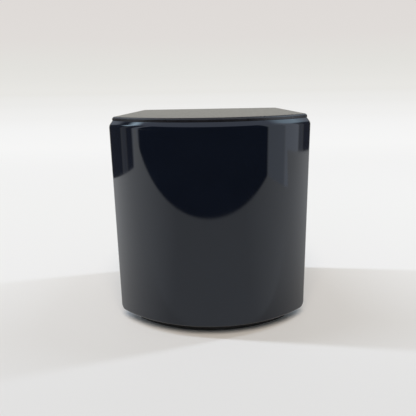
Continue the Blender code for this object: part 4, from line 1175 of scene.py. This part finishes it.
def spigot_socket():
    """Steel sleeve with a flange below, a blind bore and a slot for the latch in its front wall."""
    bottom = SOCKET_LOW.z
    top = SOCKET_HIGH.z
    flange_top = bottom + SOCKET_FLANGE
    section = [
        (0, top - SOCKET_ROOF),
        (SOCKET_BORE, top - SOCKET_ROOF),
        (SOCKET_BORE, bottom + SOCKET_MOUTH),
        (SOCKET_BORE + SOCKET_MOUTH, bottom),
        (FLANGE_RADIUS - SOCKET_CHAMFER, bottom),
        (FLANGE_RADIUS, bottom + SOCKET_CHAMFER),
        (FLANGE_RADIUS, flange_top),
        (SOCKET_RADIUS, flange_top),
        (SOCKET_RADIUS, top - SOCKET_CHAMFER),
        (SOCKET_RADIUS - SOCKET_CHAMFER, top),
        (0, top),
    ]
    socket = turned("socket_sleeve", section, LARGE_SIDES, [SOCKET_AXIS])
    latch_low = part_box("latch_plate")[0]
    half = LATCH_TONGUE / 2 + FIT
    low = (-half, AXIS_Y - SOCKET_RADIUS - OVERLAP, latch_low.z - FIT)
    high = (half, AXIS_Y + 2 * LATCH_BITE - SOCKET_BORE, latch_low.z + LATCH_THICKNESS + FIT)
    combine(socket, blocks("latch_slot", [(low, high)]))
    recess = screw_hole(bottom - OVERLAP, bottom + RECESS_DEPTH, flange_top + OVERLAP)
    drill(socket, recess, SMALL_SIDES, upright_axes(SOCKET_SCREWS))
    stand_for(socket, "spigot_socket")


def screw_section(length):
    """Socket head screw with its head below the seat and its thread above."""
    head = -HEAD_HEIGHT
    floor = head + DRIVE_DEPTH
    section = [
        (0, floor),
        (DRIVE_FLAT, floor, "hex"),
        (DRIVE_FLAT, head + DRIVE_CHAMFER, "hex"),
        (DRIVE_FLAT + 2 * DRIVE_CHAMFER, head),
        (HEAD_RADIUS - HEAD_CHAMFER, head),
        (HEAD_RADIUS, head + HEAD_CHAMFER),
        (HEAD_RADIUS, 0),
        (SHANK_RADIUS, 0),
    ]
    turns = int((length - SCREW_TIP) / THREAD_PITCH)
    for i in range(1, turns):
        section.append((SHANK_RADIUS - THREAD_DEPTH, (i - 0.5) * THREAD_PITCH))
        section.append((SHANK_RADIUS, i * THREAD_PITCH))
    tip = [(SHANK_RADIUS, length - SCREW_TIP), (SHANK_RADIUS - SCREW_TIP, length), (0, length)]
    return section + tip


def screws():
    """Each screw in the place of its solid, upright or along Y."""
    for node in sorted(NODES):
        if SLOT_OF[node] != "screw_steel":
            continue
        low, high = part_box(node)
        size = high - low
        middle = box_middle(node)
        if size.y > size.z:
            length = size.y - HEAD_HEIGHT
            place = Matrix.Translation((middle.x, low.y + HEAD_HEIGHT, middle.z)) @ ALONG_Y
        else:
            length = size.z - HEAD_HEIGHT
            place = Matrix.Translation((middle.x, middle.y, low.z + HEAD_HEIGHT))
        stand_for(turned("hex_" + node, screw_section(length), SMALL_SIDES, [place]), node)


def inserts():
    """Knurled brass bushes for the screws."""
    for node in INSERTS:
        low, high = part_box(node)
        outer = (high.x - low.x) / 2
        height = high.z - low.z
        groove_low = height / 2 - INSERT_GROOVE
        groove_high = height / 2 + INSERT_GROOVE
        section = [
            (HOLE_RADIUS, 0),
            (outer - INSERT_TOOTH, 0),
            (outer, INSERT_TOOTH, INSERT_TOOTH),
            (outer, groove_low, INSERT_TOOTH),
            (outer - INSERT_GROOVE, groove_low),
            (outer - INSERT_GROOVE, groove_high),
            (outer, groove_high, INSERT_TOOTH),
            (outer, height - INSERT_TOOTH, INSERT_TOOTH),
            (outer - INSERT_TOOTH, height),
            (HOLE_RADIUS, height),
        ]
        place = Matrix.Translation((*box_middle(node).xy, low.z))
        name = node.replace("housing", "knurled")
        stand_for(turned(name, section, 2 * SMALL_SIDES, [place]), node)


def crown_y(radius):
    """Height of the button's domed end at a radius."""
    share = min(1.0, radius / BUTTON_RADIUS)
    return BUTTON_TIP_Y - BUTTON_CROWN * (1 - math.sqrt(1 - share**2))


def release_button():
    """Push button with a domed end, two grip rings and a groove for its seal."""
    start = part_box("release_button")[0].y
    groove_y = INNER_BACK_Y + BUTTON_GROOVE_Y
    groove_end = groove_y + BUTTON_SEAL_WIDTH + 2 * SEAL_FIT
    groove_radius = BUTTON_RADIUS - BUTTON_GROOVE
    section = [
        (0, start + BUTTON_HOLE),
        (HOLE_RADIUS, start + BUTTON_HOLE),
        (HOLE_RADIUS, start),
        (BUTTON_RADIUS, start),
        (BUTTON_RADIUS, groove_y),
        (groove_radius, groove_y),
        (groove_radius, groove_end),
        (BUTTON_RADIUS, groove_end),
    ]
    for i in range(RIM_STEPS):
        radius = BUTTON_RADIUS * math.cos(math.pi / 4 * i / RIM_STEPS)
        section.append((radius, crown_y(radius)))
    for ring in reversed(BUTTON_RINGS):
        for i in range(RIM_STEPS + 1):
            angle = math.pi * i / RIM_STEPS
            radius = ring + BUTTON_RING_WIDTH * math.cos(angle)
            section.append((radius, crown_y(radius) - BUTTON_RING_DEPTH * math.sin(angle)))
    section.append((BUTTON_RINGS[0] / 2, crown_y(BUTTON_RINGS[0] / 2)))
    section.append((0, BUTTON_TIP_Y))
    stand_for(turned("button_cap", section, LARGE_SIDES, [BUTTON_AXIS]), "release_button")


def button_bezel():
    """Collar in the back wall that the button runs in, with a knurled edge."""
    face_y = BEZEL_HIGH.y - BEZEL_THICKNESS
    edge_y = BEZEL_HIGH.y - BEZEL_ROUND
    section = [
        (BEZEL_BORE, BEZEL_LOW.y),
        (BEZEL_RADIUS, BEZEL_LOW.y),
        (BEZEL_RADIUS, face_y),
        (BEZEL_FLANGE - BEZEL_TOOTH, face_y),
        (BEZEL_FLANGE, face_y + BEZEL_TOOTH, BEZEL_TOOTH),
        (BEZEL_FLANGE, edge_y - BEZEL_TOOTH, BEZEL_TOOTH),
        (BEZEL_FLANGE - BEZEL_TOOTH, edge_y),
    ]
    for drop, inset in quarter(BEZEL_ROUND, EDGE_STEPS)[1:]:
        section.append((BEZEL_FLANGE - BEZEL_TOOTH - inset, BEZEL_HIGH.y - drop))
    section += [(BEZEL_BORE + BEZEL_LIP, BEZEL_HIGH.y), (BEZEL_BORE, BEZEL_HIGH.y - BEZEL_LIP)]
    stand_for(turned("bezel_ring", section, 2 * LARGE_SIDES, [BUTTON_AXIS]), "button_bezel")


def latch_spring():
    """Round wire wound between the guide and the latch's tab, built as long as its solid. The real spring
    shortens as the button goes in.
    """
    low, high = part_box("latch_spring")
    length = high.y - low.y - SPRING_WIRE
    steps = SPRING_TURNS * CURL_POINTS
    lead = length / (2 * math.pi * SPRING_TURNS)
    levels = []
    for i in range(steps + 1):
        angle = 2 * math.pi * i / CURL_POINTS
        outward = Vector((math.cos(angle), 0, math.sin(angle)))
        along = Vector((-math.sin(angle) * SPRING_RADIUS, lead, math.cos(angle) * SPRING_RADIUS))
        across = along.normalized().cross(outward)
        middle = outward * SPRING_RADIUS
        middle += Vector((0, low.y + SPRING_WIRE / 2 + length * i / steps, BUTTON_Z))
        loop = []
        for k in range(WIRE_SIDES):
            turn = 2 * math.pi * k / WIRE_SIDES
            loop.append(middle + (outward * math.cos(turn) + across * math.sin(turn)) * SPRING_WIRE / 2)
        levels.append(loop)
    spring = stand_for(levels_object("spring_coil", levels), "latch_spring")
    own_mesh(spring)


def corner_cube():
    """Round front, and three faces square to one another that meet at the tip behind."""
    low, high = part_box("prism_glass")
    radius = (high.x - low.x) / 2
    height = high.y - low.y
    bm = bmesh.new()
    add_turned(bm, cylinder(radius, 0, height), LARGE_SIDES, Matrix())
    tip = Vector((0, 0, height))
    for i in range(CUBE_FACES):
        angle = math.pi / 2 + 2 * math.pi * i / CUBE_FACES
        normal = Vector((math.cos(angle) * CUBE_SLOPE, math.sin(angle) * CUBE_SLOPE, 1)).normalized()
        geometry = bm.verts[:] + bm.edges[:] + bm.faces[:]
        cut = bmesh.ops.bisect_plane(
            bm, geom=geometry, plane_co=tip, plane_no=normal, clear_outer=True, dist=CUT_TOLERANCE
        )
        rim = [item for item in cut["geom_cut"] if isinstance(item, bmesh.types.BMEdge)]
        bmesh.ops.contextual_create(bm, geom=rim)
    axis_z = (low.z + high.z) / 2
    bm.transform(Matrix.Translation((0, low.y, axis_z)) @ ALONG_Y)
    glass = new_object("corner_cube", bm)
    bevel = glass.modifiers.new("edges", "BEVEL")
    bevel.width = GLASS_BEVEL
    bevel.segments = GLASS_BEVEL_STEPS
    bevel.limit_method = "ANGLE"
    stand_for(glass, "prism_glass")


def dress_solids():
    """Gives each solid that still shows the finish of its slot."""
    for node, solid in NODES.items():
        if not solid.hide_render:
            solid.data.materials.clear()
            solid.data.materials.append(SURFACES[SLOT_OF[node]])


def build_pieces():
    front_window()
    rear_housing()
    window_seals()
    top_cap()
    foot_pad()
    base_plate()
    spigot_socket()
    screws()
    inserts()
    release_button()
    button_bezel()
    latch_spring()
    corner_cube()
    dress_solids()


bpy.context.scene.view_settings.view_transform = "Standard"
make_camera()
make_world()
make_lamps()
make_floor()
SURFACES = make_surfaces()
build_pieces()
